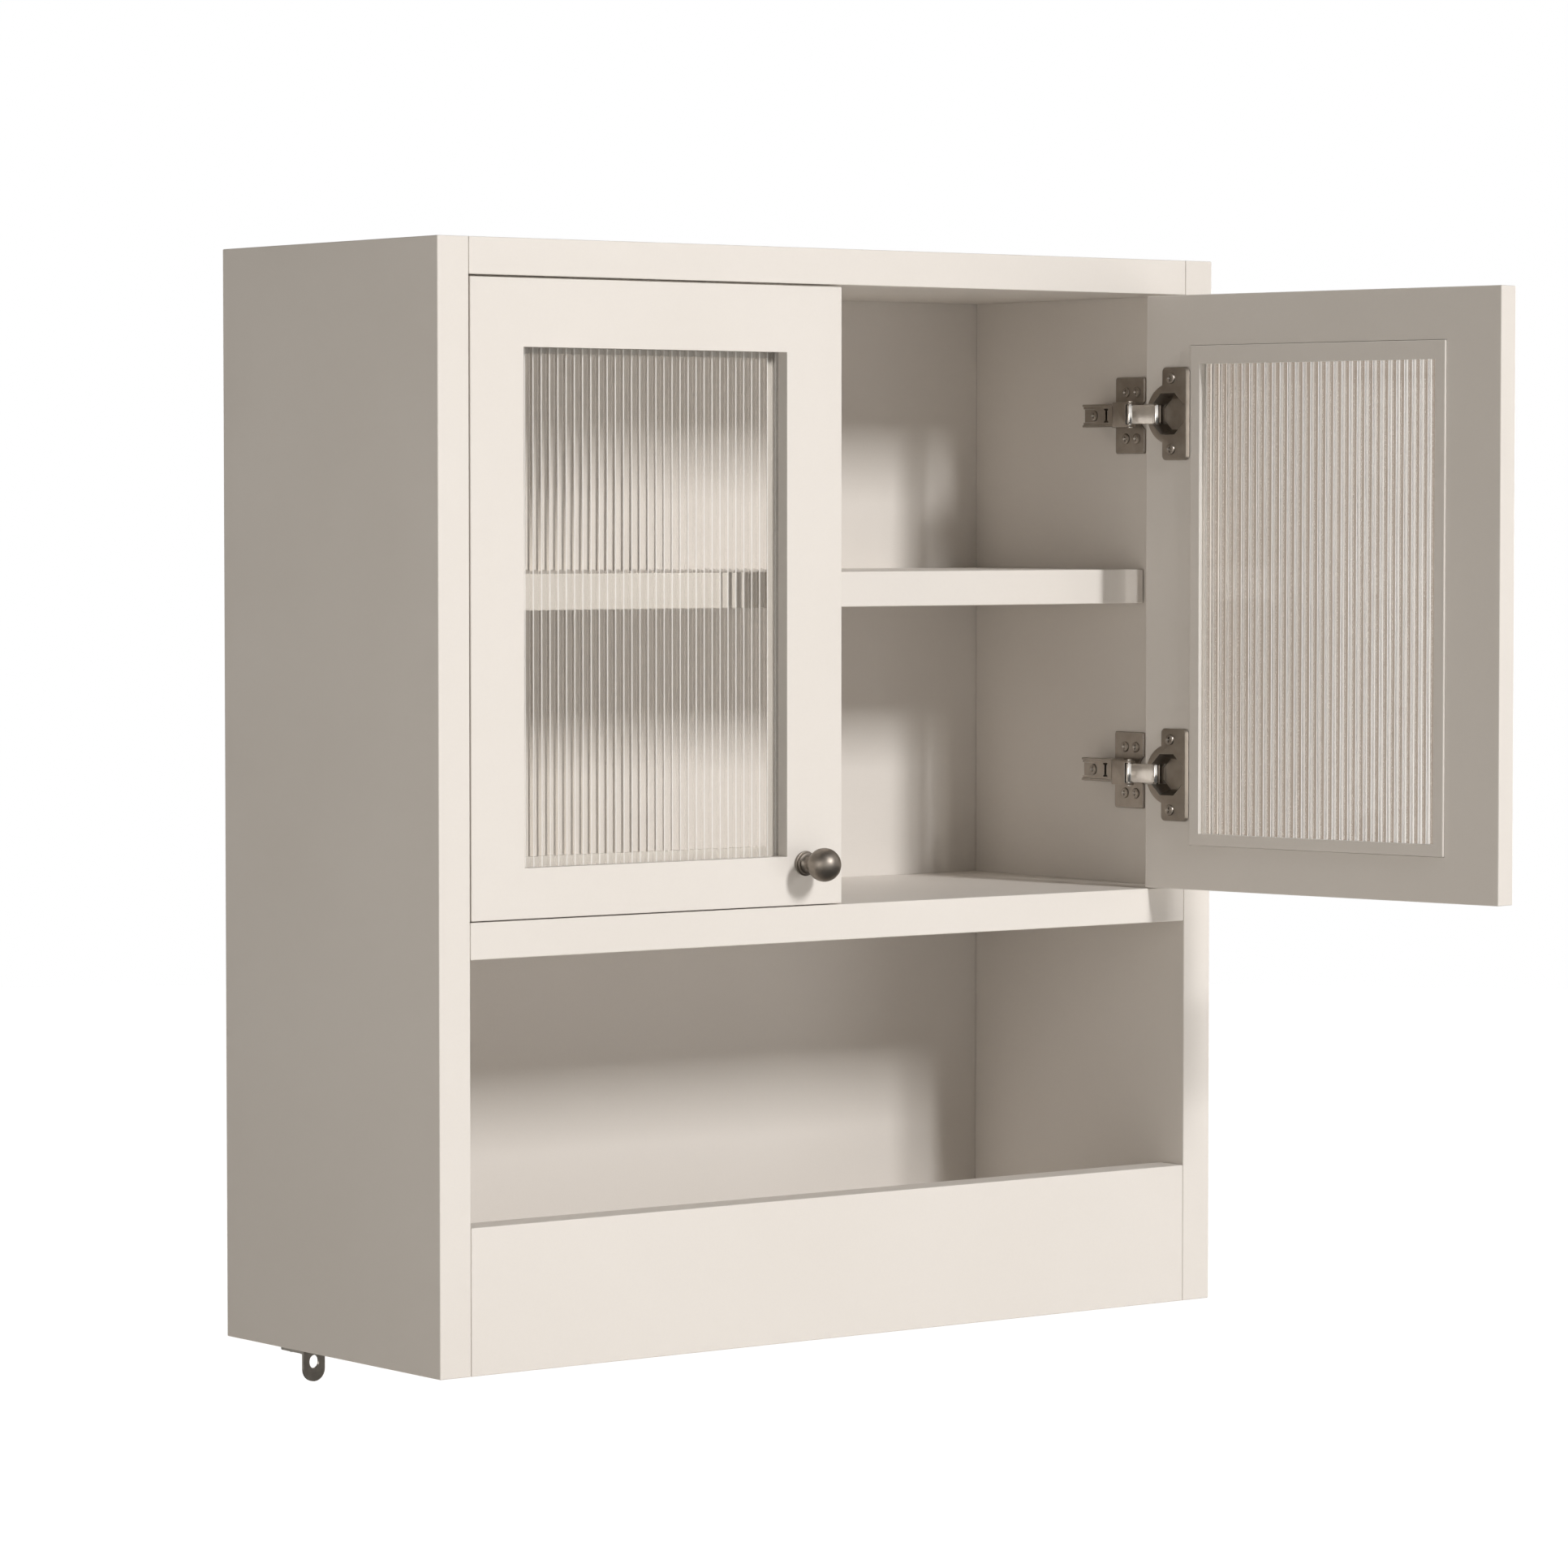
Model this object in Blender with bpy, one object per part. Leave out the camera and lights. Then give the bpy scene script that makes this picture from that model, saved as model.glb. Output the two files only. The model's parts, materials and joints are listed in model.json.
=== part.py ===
"""Wall-hung bathroom cabinet: two inset doors glazed with ribbed glass over an open compartment.

Metres, +Z up. +X is the cabinet's right seen from the front, +Y points to the wall.
The origin is the middle of the hanging rail's rear face, which lies on the wall.
Pieces are laid out from the middle of the width (x), the wall (y) and the bottom edge (z).
"""

import math

import bmesh
import bpy
from mathutils import Matrix, Vector

# Carcass
WIDTH = 0.600
DEPTH = 0.235
HEIGHT = 0.670
BOARD = 0.022
EDGE_ROUND = 0.0006
FIT = 0.0003
APRON_HEIGHT = 0.088
FLOOR_BOARD = 0.022
DIVIDER_UNDERSIDE = 0.246
BACK_BOARD = 0.005
BACK_GROOVE_DEPTH = 0.006
RAIL_THICKNESS = 0.018
RAIL_HEIGHT = 0.070

# Shelf and its hidden pins
SHELF_BOARD = 0.022
SHELF_ABOVE_DIVIDER = 0.182
SHELF_SET_BACK = 0.040
SHELF_END_GAP = 0.0008
PIN_RADIUS = 0.0025
PIN_LENGTH = 0.018
PIN_INSET = 0.035

# Doors
DOOR_THICKNESS = 0.015
DOOR_SIDE_GAP = 0.001
DOOR_CENTRE_GAP = 0.0032
DOOR_TOP_GAP = 0.0013
DOOR_BOTTOM_GAP = 0.0007
WINDOW_TOP_RAIL = 0.0405
WINDOW_BOTTOM_RAIL = 0.030
WINDOW_HINGE_STILE = 0.038
WINDOW_FREE_STILE = 0.0423
FRONT_LIP_DEPTH = 0.009
SIDE_LIP = 0.0018
TOP_LIP = 0.0085
RETAINER_COVER = 0.006
RETAINER_TOP_COVER = 0.0035
RETAINER_PROUD = 0.0012

# Ribbed glass
GLASS_THICKNESS = 0.0036
RIB_PITCH = 0.0069
RIB_RISE = 0.0009
RIB_STEPS = 4
GLASS_EDGE_FLAT = 0.002

# Knob
KNOB_FROM_FREE_EDGE = 0.029
KNOB_FROM_DOOR_BOTTOM = 0.0255
KNOB_BALL_RADIUS = 0.01035
KNOB_BALL_REACH = 0.020
KNOB_BASE_RADIUS = 0.0077
KNOB_BASE_THICKNESS = 0.0017
KNOB_STEP_RADIUS = 0.0066
KNOB_STEP_THICKNESS = 0.0016
KNOB_NECK_RADIUS = 0.0040
KNOB_STUD_RADIUS = 0.0018
KNOB_STUD_LENGTH = 0.010

# Concealed hinges
HINGE_FROM_DOOR_BOTTOM = 0.0728
HINGE_FROM_DOOR_TOP = 0.0752
OPEN_DEGREES = 100.5
LINK_SWING_DEGREES = 60.0
ARM_PIVOT_OFF_PANEL = 0.0282
ARM_PIVOT_BEHIND_DOOR = 0.0066
CUP_PIVOT_INSET = 0.0055
CUP_PIVOT_SINK = 0.004
PIVOT_RADIUS = 0.00125
PIVOT_CLEARANCE = 0.0003
LINK_HEIGHT = 0.012
LINK_STRAP = 0.0014
LINK_EYE_RADIUS = 0.0026
LINK_SIDE_CLEARANCE = 0.0004
CHEEK = 0.0016
CUP_CENTRE_INSET = 0.0186
CUP_RADIUS = 0.0158
CUP_DEPTH = 0.0105
RIM_CENTRE_INSET = 0.0207
RIM_RADIUS = 0.0195
FLANGE_THICKNESS = 0.0012
FLANGE_INSET = 0.0136
FLANGE_WIDTH = 0.022
FLANGE_HEIGHT = 0.059
FLANGE_CORNER = 0.003
POCKET_RADIUS = 0.0132
POCKET_DEPTH = 0.008
CUP_SCREW_INSET = 0.0212
CUP_SCREW_SPACING = 0.045
PLATE_FROM_FRONT = 0.0382
PLATE_WIDTH = 0.0286
PLATE_HEIGHT = 0.0494
PLATE_THICKNESS = 0.0016
PLATE_SCREW_ROWS = (0.0075, 0.018)
PLATE_SCREW_SPACING = 0.030
SADDLE_HEIGHT = 0.0097
SADDLE_WIDTH = 0.011
SADDLE_FROM_FRONT = 0.046
SADDLE_LENGTH = 0.037
ARM_BAND = 0.005
ARM_HEIGHT = 0.0148
ARM_REAR_FROM_FRONT = 0.0845
ARM_LOW_END_FROM_FRONT = 0.0535
ARM_HIGH_START_FROM_FRONT = 0.035
ARM_EYE_RADIUS = 0.0032
ARM_SCREW_FROM_FRONT = 0.0745
ARM_SLOT_FROM_FRONT = 0.0618
ARM_SLOT_SIZE = (0.0042, 0.009)
ARM_SLOT_DEPTH = 0.0015

# Screws
SCREW_HEAD_RADIUS = 0.0034
SCREW_HEAD_THICKNESS = 0.0014
SCREW_SHANK_RADIUS = 0.0015
SCREW_HOLE_CLEARANCE = 0.0003
CUP_SCREW_LENGTH = 0.011
ARM_SCREW_LENGTH = 0.012
BRACKET_SCREW_LENGTH = 0.014

# Slotted brackets under the side panels
BRACKET_FROM_FRONT = 0.153
BRACKET_WIDTH = 0.0153
BRACKET_PLATE = 0.002
BRACKET_LEG = 0.031
BRACKET_DROP = 0.0195
BRACKET_SLOT_WIDTH = 0.0069
BRACKET_SLOT_LENGTH = 0.0082
BRACKET_SLOT_FROM_END = 0.0080
BRACKET_SCREWS_FROM_TAB = (0.0105, 0.0225)

# Facets on round pieces
ROUND_STEPS = 24
SMALL_STEPS = 12

# Places that follow from the sizes
FRONT = -DEPTH
INNER = WIDTH / 2 - BOARD
BACK_FACE = -(RAIL_THICKNESS + BACK_BOARD)
RAIL_MIDDLE = HEIGHT - RAIL_HEIGHT / 2
CUPBOARD_FLOOR = DIVIDER_UNDERSIDE + BOARD
SHELF_UNDERSIDE = CUPBOARD_FLOOR + SHELF_ABOVE_DIVIDER
DOOR_BOTTOM = CUPBOARD_FLOOR + DOOR_BOTTOM_GAP
DOOR_TOP = HEIGHT - BOARD - DOOR_TOP_GAP
DOOR_FREE = DOOR_CENTRE_GAP / 2
DOOR_HINGE = INNER - DOOR_SIDE_GAP
DOOR_BACK = FRONT + DOOR_THICKNESS
WINDOW_LOW = (DOOR_FREE + WINDOW_FREE_STILE, DOOR_BOTTOM + WINDOW_BOTTOM_RAIL)
WINDOW_HIGH = (DOOR_HINGE - WINDOW_HINGE_STILE, DOOR_TOP - WINDOW_TOP_RAIL)
REBATE_LOW = (WINDOW_LOW[0] - SIDE_LIP, WINDOW_LOW[1] - SIDE_LIP)
REBATE_HIGH = (WINDOW_HIGH[0] + SIDE_LIP, WINDOW_HIGH[1] + TOP_LIP)
GLASS_FRONT = FRONT + FRONT_LIP_DEPTH + FIT
GLASS_BACK = GLASS_FRONT + GLASS_THICKNESS
ARM_PIVOT = Vector((INNER - ARM_PIVOT_OFF_PANEL, DOOR_BACK + ARM_PIVOT_BEHIND_DOOR, 0))
CUP_PIVOT = Vector((DOOR_HINGE - CUP_PIVOT_INSET, DOOR_BACK - CUP_PIVOT_SINK, 0))
HINGE_HEIGHTS = {"lower": DOOR_BOTTOM + HINGE_FROM_DOOR_BOTTOM, "upper": DOOR_TOP - HINGE_FROM_DOOR_TOP}
LINK_ROOM = LINK_EYE_RADIUS + PIVOT_CLEARANCE + LINK_SIDE_CLEARANCE
FORK_INNER = LINK_HEIGHT / 2 + LINK_SIDE_CLEARANCE
FORK_OUTER = FORK_INNER + CHEEK
NOTCH_DEPTH = CUP_PIVOT_SINK + LINK_ROOM
PIVOT_REACH = FORK_INNER + CHEEK / 4
ARM_TOP_LOW = SADDLE_HEIGHT + FIT + ARM_BAND
SHANK_HOLE = SCREW_SHANK_RADIUS + SCREW_HOLE_CLEARANCE
CUT_PAST = 0.002
SIDES = {"left": -1, "right": 1}
OPEN_SHARE = {"left": 0.0, "right": 1.0}


def clear_scene():
    for obj in list(bpy.data.objects):
        bpy.data.objects.remove(obj, do_unlink=True)


def material(name, colour, roughness, metallic=0.0, transmission=0.0):
    made = bpy.data.materials.new(name)
    made.use_nodes = True
    shader = made.node_tree.nodes["Principled BSDF"]
    shader.inputs["Base Color"].default_value = (*colour, 1.0)
    shader.inputs["Roughness"].default_value = roughness
    shader.inputs["Metallic"].default_value = metallic
    shader.inputs["Transmission Weight"].default_value = transmission
    return made


def empty(name, location, parent=None, turn=0.0):
    made = bpy.data.objects.new(name, None)
    made.location = location
    made.rotation_euler = (0, 0, turn)
    made.parent = parent
    bpy.context.collection.objects.link(made)
    return made


def body(name, bm, finish, parent, mirrored=False, origin=(0, 0, 0), smooth=False):
    """Makes an object of a mesh drawn for the right-hand side, seen from origin, turned over for the left."""
    bm.transform(Matrix.Translation(-Vector(origin)))
    if mirrored:
        bm.transform(Matrix.Diagonal((-1, 1, 1, 1)))
        bmesh.ops.reverse_faces(bm, faces=bm.faces)
    mesh = bpy.data.meshes.new(name)
    bm.to_mesh(mesh)
    bm.free()
    if smooth:
        mesh.shade_smooth()
        mesh.set_sharp_from_angle(angle=math.radians(35))
    made = bpy.data.objects.new(name, mesh)
    if finish:
        mesh.materials.append(finish)
    made.parent = parent
    bpy.context.collection.objects.link(made)
    return made


def shaped(target, operation, name, bm, mirrored=False, origin=(0, 0, 0)):
    """Joins a shape to an object, or cuts it away, with a hidden helper beside the object."""
    helper = body(f"{target.name}_{name}", bm, None, target.parent, mirrored, origin)
    helper.hide_render = True
    helper.display_type = "WIRE"
    modifier = target.modifiers.new(name, "BOOLEAN")
    modifier.operation = operation
    modifier.object = helper
    modifier.solver = "EXACT"


def box(low, high):
    bm = bmesh.new()
    bmesh.ops.create_cube(bm, size=1.0)
    low, high = Vector(low), Vector(high)
    size = high - low
    bm.transform(Matrix.Translation((low + high) / 2) @ Matrix.Diagonal((*size, 1)))
    return bm


def rounded_box(low, high, radius=EDGE_ROUND):
    bm = box(low, high)
    bmesh.ops.bevel(bm, geom=bm.edges[:], offset=radius, segments=2, profile=0.5, affect="EDGES")
    return bm


def prism(outline, low, high):
    """Stands an outline in x and y, drawn counter-clockwise, between two heights."""
    bm = bmesh.new()
    foot = [bm.verts.new((x, y, low)) for x, y in outline]
    face = bm.faces.new(foot)
    face.normal_update()
    if face.normal.z > 0:
        face.normal_flip()
    grown = bmesh.ops.extrude_face_region(bm, geom=[face])
    top = [v for v in grown["geom"] if isinstance(v, bmesh.types.BMVert)]
    bmesh.ops.translate(bm, verts=top, vec=(0, 0, high - low))
    bmesh.ops.recalc_face_normals(bm, faces=bm.faces)
    return bm


def turned(profile, steps):
    """Spins a profile of (radius, height) points, on the axis at both ends, about Z."""
    bm = bmesh.new()
    points = [bm.verts.new((radius, 0, height)) for radius, height in profile]
    edges = [bm.edges.new(pair) for pair in zip(points, points[1:])]
    bmesh.ops.spin(
        bm,
        geom=points + edges,
        cent=(0, 0, 0),
        axis=(0, 0, 1),
        angle=math.tau,
        steps=steps,
        use_merge=True,
    )
    bmesh.ops.remove_doubles(bm, verts=bm.verts, dist=1e-6)
    bmesh.ops.recalc_face_normals(bm, faces=bm.faces)
    return bm


def rod(radius, low, high, steps=SMALL_STEPS):
    return turned([(0, low), (radius, low), (radius, high), (0, high)], steps)


def facing(bm, direction, place):
    """Turns a shape's Z axis to a direction and moves its origin to a place."""
    turn = Vector((0, 0, 1)).rotation_difference(Vector(direction)).to_matrix().to_4x4()
    bm.transform(Matrix.Translation(place) @ turn)
    return bm


def arc(centre, radius, start, end, steps):
    """Points of an arc from one angle to another, in degrees."""
    points = []
    for step in range(steps + 1):
        angle = math.radians(start + (end - start) * step / steps)
        points.append((centre[0] + radius * math.cos(angle), centre[1] + radius * math.sin(angle)))
    return points


def joined(*parts):
    """Puts separate shapes into one mesh."""
    whole = parts[0]
    for part in parts[1:]:
        mesh = bpy.data.meshes.new("part")
        part.to_mesh(mesh)
        part.free()
        whole.from_mesh(mesh)
        bpy.data.meshes.remove(mesh)
    return whole


def screw_shape(length):
    """Pan-head screw whose head sits on z = 0 and whose shank runs down."""
    rounding = SCREW_HEAD_THICKNESS * 0.5
    profile = [
        (0, -length),
        (SCREW_SHANK_RADIUS * 0.4, -length),
        (SCREW_SHANK_RADIUS, -length + SCREW_SHANK_RADIUS),
        (SCREW_SHANK_RADIUS, FIT),
        (SCREW_HEAD_RADIUS, FIT),
        (SCREW_HEAD_RADIUS, FIT + SCREW_HEAD_THICKNESS - rounding),
        (SCREW_HEAD_RADIUS * 0.8, FIT + SCREW_HEAD_THICKNESS * 0.87),
        (0, FIT + SCREW_HEAD_THICKNESS),
    ]
    return turned(profile, SMALL_STEPS)


def finishes():
    return {
        "paint": material("cream_paint", (0.80, 0.73, 0.65), 0.45),
        "glass": material("ribbed_glass", (0.93, 0.94, 0.93), 0.05, transmission=0.9),
        "nickel": material("dark_nickel", (0.20, 0.17, 0.14), 0.35, 1.0),
        "chrome": material("bright_link", (0.75, 0.73, 0.70), 0.12, 1.0),
        "pewter": material("pewter", (0.16, 0.13, 0.11), 0.35, 1.0),
        "steel": material("zinc_steel", (0.62, 0.58, 0.53), 0.40, 1.0),
        "rail": material("rail_board", (0.62, 0.55, 0.46), 0.60),
    }


def shelf_pin_places():
    front = FRONT + SHELF_SET_BACK + PIN_INSET
    rear = BACK_FACE - PIN_INSET
    return {"front": front, "rear": rear}


def side_panel(side, finish, root):
    """Full-height side with a groove for the back and blind bores for pins and bracket screws."""
    mirrored = SIDES[side] < 0
    low = (INNER, FRONT, 0)
    high = (WIDTH / 2, 0, HEIGHT)
    panel = body(f"{side}_side_panel", rounded_box(low, high), finish, root, mirrored)
    groove = box(
        (INNER - CUT_PAST, BACK_FACE - FIT, -CUT_PAST),
        (INNER + BACK_GROOVE_DEPTH + FIT, -RAIL_THICKNESS + FIT, HEIGHT + CUT_PAST),
    )
    shaped(panel, "DIFFERENCE", "groove", groove, mirrored)
    height = SHELF_UNDERSIDE + SHELF_BOARD / 2
    reach = PIN_LENGTH / 2 + FIT
    bores = []
    for y in shelf_pin_places().values():
        bores.append(facing(rod(PIN_RADIUS + FIT, -CUT_PAST, reach), (1, 0, 0), (INNER, y, height)))
    middle = WIDTH / 2 - BOARD / 2
    for step in BRACKET_SCREWS_FROM_TAB:
        pilot = rod(SHANK_HOLE, -CUT_PAST, BRACKET_SCREW_LENGTH)
        bores.append(facing(pilot, (0, 0, 1), (middle, FRONT + BRACKET_FROM_FRONT + step, 0)))
    shaped(panel, "DIFFERENCE", "bores", joined(*bores), mirrored)


def carcass(finish, rail_finish, root):
    for side in SIDES:
        side_panel(side, finish, root)
    reach = INNER - FIT
    rear = BACK_FACE - FIT
    boards = {
        "top_panel": ((-reach, FRONT, HEIGHT - BOARD), (reach, rear, HEIGHT)),
        "divider_panel": ((-reach, FRONT, DIVIDER_UNDERSIDE), (reach, rear, CUPBOARD_FLOOR)),
        "bottom_panel": ((-reach, FRONT + BOARD + FIT, 0), (reach, rear, FLOOR_BOARD)),
        "front_apron": ((-reach, FRONT, 0), (reach, FRONT + BOARD, APRON_HEIGHT)),
    }
    for name, (low, high) in boards.items():
        body(name, rounded_box(low, high), finish, root)
    groove_reach = INNER + BACK_GROOVE_DEPTH
    back = box((-groove_reach, BACK_FACE, 0), (groove_reach, -RAIL_THICKNESS, HEIGHT))
    body("back_panel", back, finish, root)
    rails = {"hanging_rail": HEIGHT - RAIL_HEIGHT, "lower_rail": 0.0}
    for name, foot in rails.items():
        low = (-reach, -RAIL_THICKNESS + FIT, foot)
        high = (reach, 0, foot + RAIL_HEIGHT)
        body(name, rounded_box(low, high), rail_finish, root)


def shelf(finish, pin_finish, root):
    end = INNER - SHELF_END_GAP
    low = (-end, FRONT + SHELF_SET_BACK, SHELF_UNDERSIDE)
    high = (end, BACK_FACE - FIT, SHELF_UNDERSIDE + SHELF_BOARD)
    board = body("middle_shelf", rounded_box(low, high), finish, root)
    height = SHELF_UNDERSIDE + SHELF_BOARD / 2
    bores = []
    for side, sign in SIDES.items():
        for where, y in shelf_pin_places().items():
            inner_end = -PIN_LENGTH / 2 - FIT
            bore = rod(PIN_RADIUS + FIT, inner_end, CUT_PAST)
            bores.append(facing(bore, (sign, 0, 0), (sign * INNER, y, height)))
            pin = facing(rod(PIN_RADIUS, -PIN_LENGTH / 2, PIN_LENGTH / 2), (1, 0, 0), (sign * INNER, y, height))
            body(f"{side}_{where}_shelf_pin", pin, pin_finish, root, smooth=True)
    shaped(board, "DIFFERENCE", "bores", joined(*bores))


def door_axes(side, root):
    """Empties on the two pivot axes of a door's links, turned to the door's rest pose."""
    sign = SIDES[side]
    share = OPEN_SHARE[side]
    arm_place = (sign * ARM_PIVOT.x, ARM_PIVOT.y, 0)
    link_turn = -sign * math.radians(LINK_SWING_DEGREES) * share
    link_axis = empty(f"{side}_link_axis", arm_place, root, link_turn)
    step = CUP_PIVOT - ARM_PIVOT
    door_turn = sign * math.radians(OPEN_DEGREES + LINK_SWING_DEGREES) * share
    door_axis = empty(f"{side}_door_axis", (sign * step.x, step.y, 0), link_axis, door_turn)
    return link_axis, door_axis


def door_frame(side, finish, axis):
    mirrored = SIDES[side] < 0
    place = {"mirrored": mirrored, "origin": CUP_PIVOT}
    low = (DOOR_FREE, FRONT, DOOR_BOTTOM)
    high = (DOOR_HINGE, DOOR_BACK, DOOR_TOP)
    frame = body(f"{side}_door_frame", rounded_box(low, high), finish, axis, **place)
    window = box(
        (WINDOW_LOW[0], FRONT - CUT_PAST, WINDOW_LOW[1]),
        (WINDOW_HIGH[0], DOOR_BACK + CUT_PAST, WINDOW_HIGH[1]),
    )
    shaped(frame, "DIFFERENCE", "window", window, **place)
    rebate = box(
        (REBATE_LOW[0], FRONT + FRONT_LIP_DEPTH, REBATE_LOW[1]),
        (REBATE_HIGH[0], DOOR_BACK + CUT_PAST, REBATE_HIGH[1]),
    )
    shaped(frame, "DIFFERENCE", "rebate", rebate, **place)
    bores = []
    for height in HINGE_HEIGHTS.values():
        centre = (DOOR_HINGE - CUP_CENTRE_INSET, DOOR_BACK, height)
        cup_bore = rod(CUP_RADIUS + FIT, -CUP_DEPTH - FIT, CUT_PAST, ROUND_STEPS)
        bores.append(facing(cup_bore, (0, 1, 0), centre))
        for sign in (-1, 1):
            x = DOOR_HINGE - CUP_SCREW_INSET
            pilot = rod(SHANK_HOLE, -CUP_SCREW_LENGTH - FIT, CUT_PAST)
            place_at = (x, DOOR_BACK, height + sign * CUP_SCREW_SPACING / 2)
            bores.append(facing(pilot, (0, 1, 0), place_at))
    knob_place = (DOOR_FREE + KNOB_FROM_FREE_EDGE, FRONT, DOOR_BOTTOM + KNOB_FROM_DOOR_BOTTOM)
    stud_bore = rod(KNOB_STUD_RADIUS + FIT, -KNOB_STUD_LENGTH - FIT, CUT_PAST)
    bores.append(facing(stud_bore, (0, -1, 0), knob_place))
    shaped(frame, "DIFFERENCE", "bores", joined(*bores), **place)
    notches = [link_notch(height, FORK_INNER + FIT, NOTCH_DEPTH + FIT) for height in HINGE_HEIGHTS.values()]
    shaped(frame, "DIFFERENCE", "notches", joined(*notches), **place)


def glass_pane(side, finish, axis):
    """Pane with round vertical ribs on its outer face and a flat margin in the rebate."""
    left = REBATE_LOW[0] + FIT
    right = REBATE_HIGH[0] - FIT
    count = int((right - left - 2 * GLASS_EDGE_FLAT) / RIB_PITCH)
    start = (left + right - count * RIB_PITCH) / 2
    valley = GLASS_FRONT + RIB_RISE
    outline = [(right, GLASS_BACK), (left, GLASS_BACK), (left, valley)]
    for rib in range(count):
        for step in range(RIB_STEPS):
            share = step / RIB_STEPS
            rise = RIB_RISE * math.sin(math.pi * share)
            outline.append((start + (rib + share) * RIB_PITCH, valley - rise))
    outline.append((start + count * RIB_PITCH, valley))
    outline.append((right, valley))
    pane = prism(outline, REBATE_LOW[1] + FIT, REBATE_HIGH[1] - FIT)
    body(f"{side}_glass_pane", pane, finish, axis, SIDES[side] < 0, CUP_PIVOT)


def retainer(side, finish, axis):
    """Frame let into the rebate behind the glass, standing a little proud of the door."""
    mirrored = SIDES[side] < 0
    front = GLASS_BACK + FIT
    rear = DOOR_BACK + RETAINER_PROUD
    low = (REBATE_LOW[0] + FIT, front, REBATE_LOW[1] + FIT)
    high = (REBATE_HIGH[0] - FIT, rear, REBATE_HIGH[1] - FIT)
    frame = body(f"{side}_glass_retainer", rounded_box(low, high), finish, axis, mirrored, CUP_PIVOT)
    hole = box(
        (WINDOW_LOW[0] + RETAINER_COVER, front - CUT_PAST, WINDOW_LOW[1] + RETAINER_COVER),
        (WINDOW_HIGH[0] - RETAINER_COVER, rear + CUT_PAST, WINDOW_HIGH[1] - RETAINER_TOP_COVER),
    )
    shaped(frame, "DIFFERENCE", "hole", hole, mirrored, CUP_PIVOT)


def knob(side, finish, axis):
    """Turned knob: stud, stepped base, drawn-in neck and ball."""
    base_top = FIT + KNOB_BASE_THICKNESS
    step_top = base_top + KNOB_STEP_THICKNESS
    ball_start = math.degrees(math.asin(KNOB_NECK_RADIUS / KNOB_BALL_RADIUS))
    neck_top = KNOB_BALL_REACH - math.sqrt(KNOB_BALL_RADIUS**2 - KNOB_NECK_RADIUS**2)
    profile = [
        (0, -KNOB_STUD_LENGTH),
        (KNOB_STUD_RADIUS, -KNOB_STUD_LENGTH),
        (KNOB_STUD_RADIUS, FIT),
        (KNOB_BASE_RADIUS, FIT),
        (KNOB_BASE_RADIUS, base_top),
        (KNOB_STEP_RADIUS, base_top),
        (KNOB_STEP_RADIUS, step_top),
        (KNOB_NECK_RADIUS, (step_top + neck_top) / 2),
    ]
    ball_profile = arc((0, KNOB_BALL_REACH), KNOB_BALL_RADIUS, ball_start - 90, 90, SMALL_STEPS)
    profile += ball_profile[:-1]
    profile.append((0, KNOB_BALL_REACH + KNOB_BALL_RADIUS))
    centre = (DOOR_FREE + KNOB_FROM_FREE_EDGE, FRONT, DOOR_BOTTOM + KNOB_FROM_DOOR_BOTTOM)
    shape = facing(turned(profile, ROUND_STEPS), (0, -1, 0), centre)
    body(f"{side}_knob", shape, finish, axis, SIDES[side] < 0, CUP_PIVOT, smooth=True)


def door_prism(outline, height, low, high):
    """Prism on a door's inner face, positive into the cupboard.

    The outline's points are the distance from the hinge edge and the height about the hinge.
    """
    turn = Matrix(((-1, 0, 0, 0), (0, 0, 1, 0), (0, 1, 0, 0), (0, 0, 0, 1)))
    bm = prism(outline, low, high)
    bm.transform(Matrix.Translation((DOOR_HINGE, DOOR_BACK, height)) @ turn)
    return bm


def link_notch(height, half_height, depth):
    """Way out for a link from its cup over the door's hinge edge."""
    return box(
        (DOOR_HINGE - CUP_CENTRE_INSET, DOOR_BACK - depth, height - half_height),
        (DOOR_HINGE + CUT_PAST, DOOR_BACK + FLANGE_THICKNESS + CUT_PAST, height + half_height),
    )


def flange_outline():
    """Upright plate with round corners and a round lobe over the cup towards the hinge edge."""
    near = FLANGE_INSET
    far = FLANGE_INSET + FLANGE_WIDTH
    half = FLANGE_HEIGHT / 2
    corner = FLANGE_CORNER
    spread = math.degrees(math.acos((RIM_CENTRE_INSET - near) / RIM_RADIUS))
    outline = arc((far - corner, -half + corner), corner, -90, 0, 3)
    outline += arc((far - corner, half - corner), corner, 0, 90, 3)
    outline += arc((near + corner, half - corner), corner, 90, 180, 3)
    outline += arc((RIM_CENTRE_INSET, 0), RIM_RADIUS, 180 - spread, 180 + spread, SMALL_STEPS)
    outline += arc((near + corner, -half + corner), corner, 180, 270, 3)
    return outline


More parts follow.
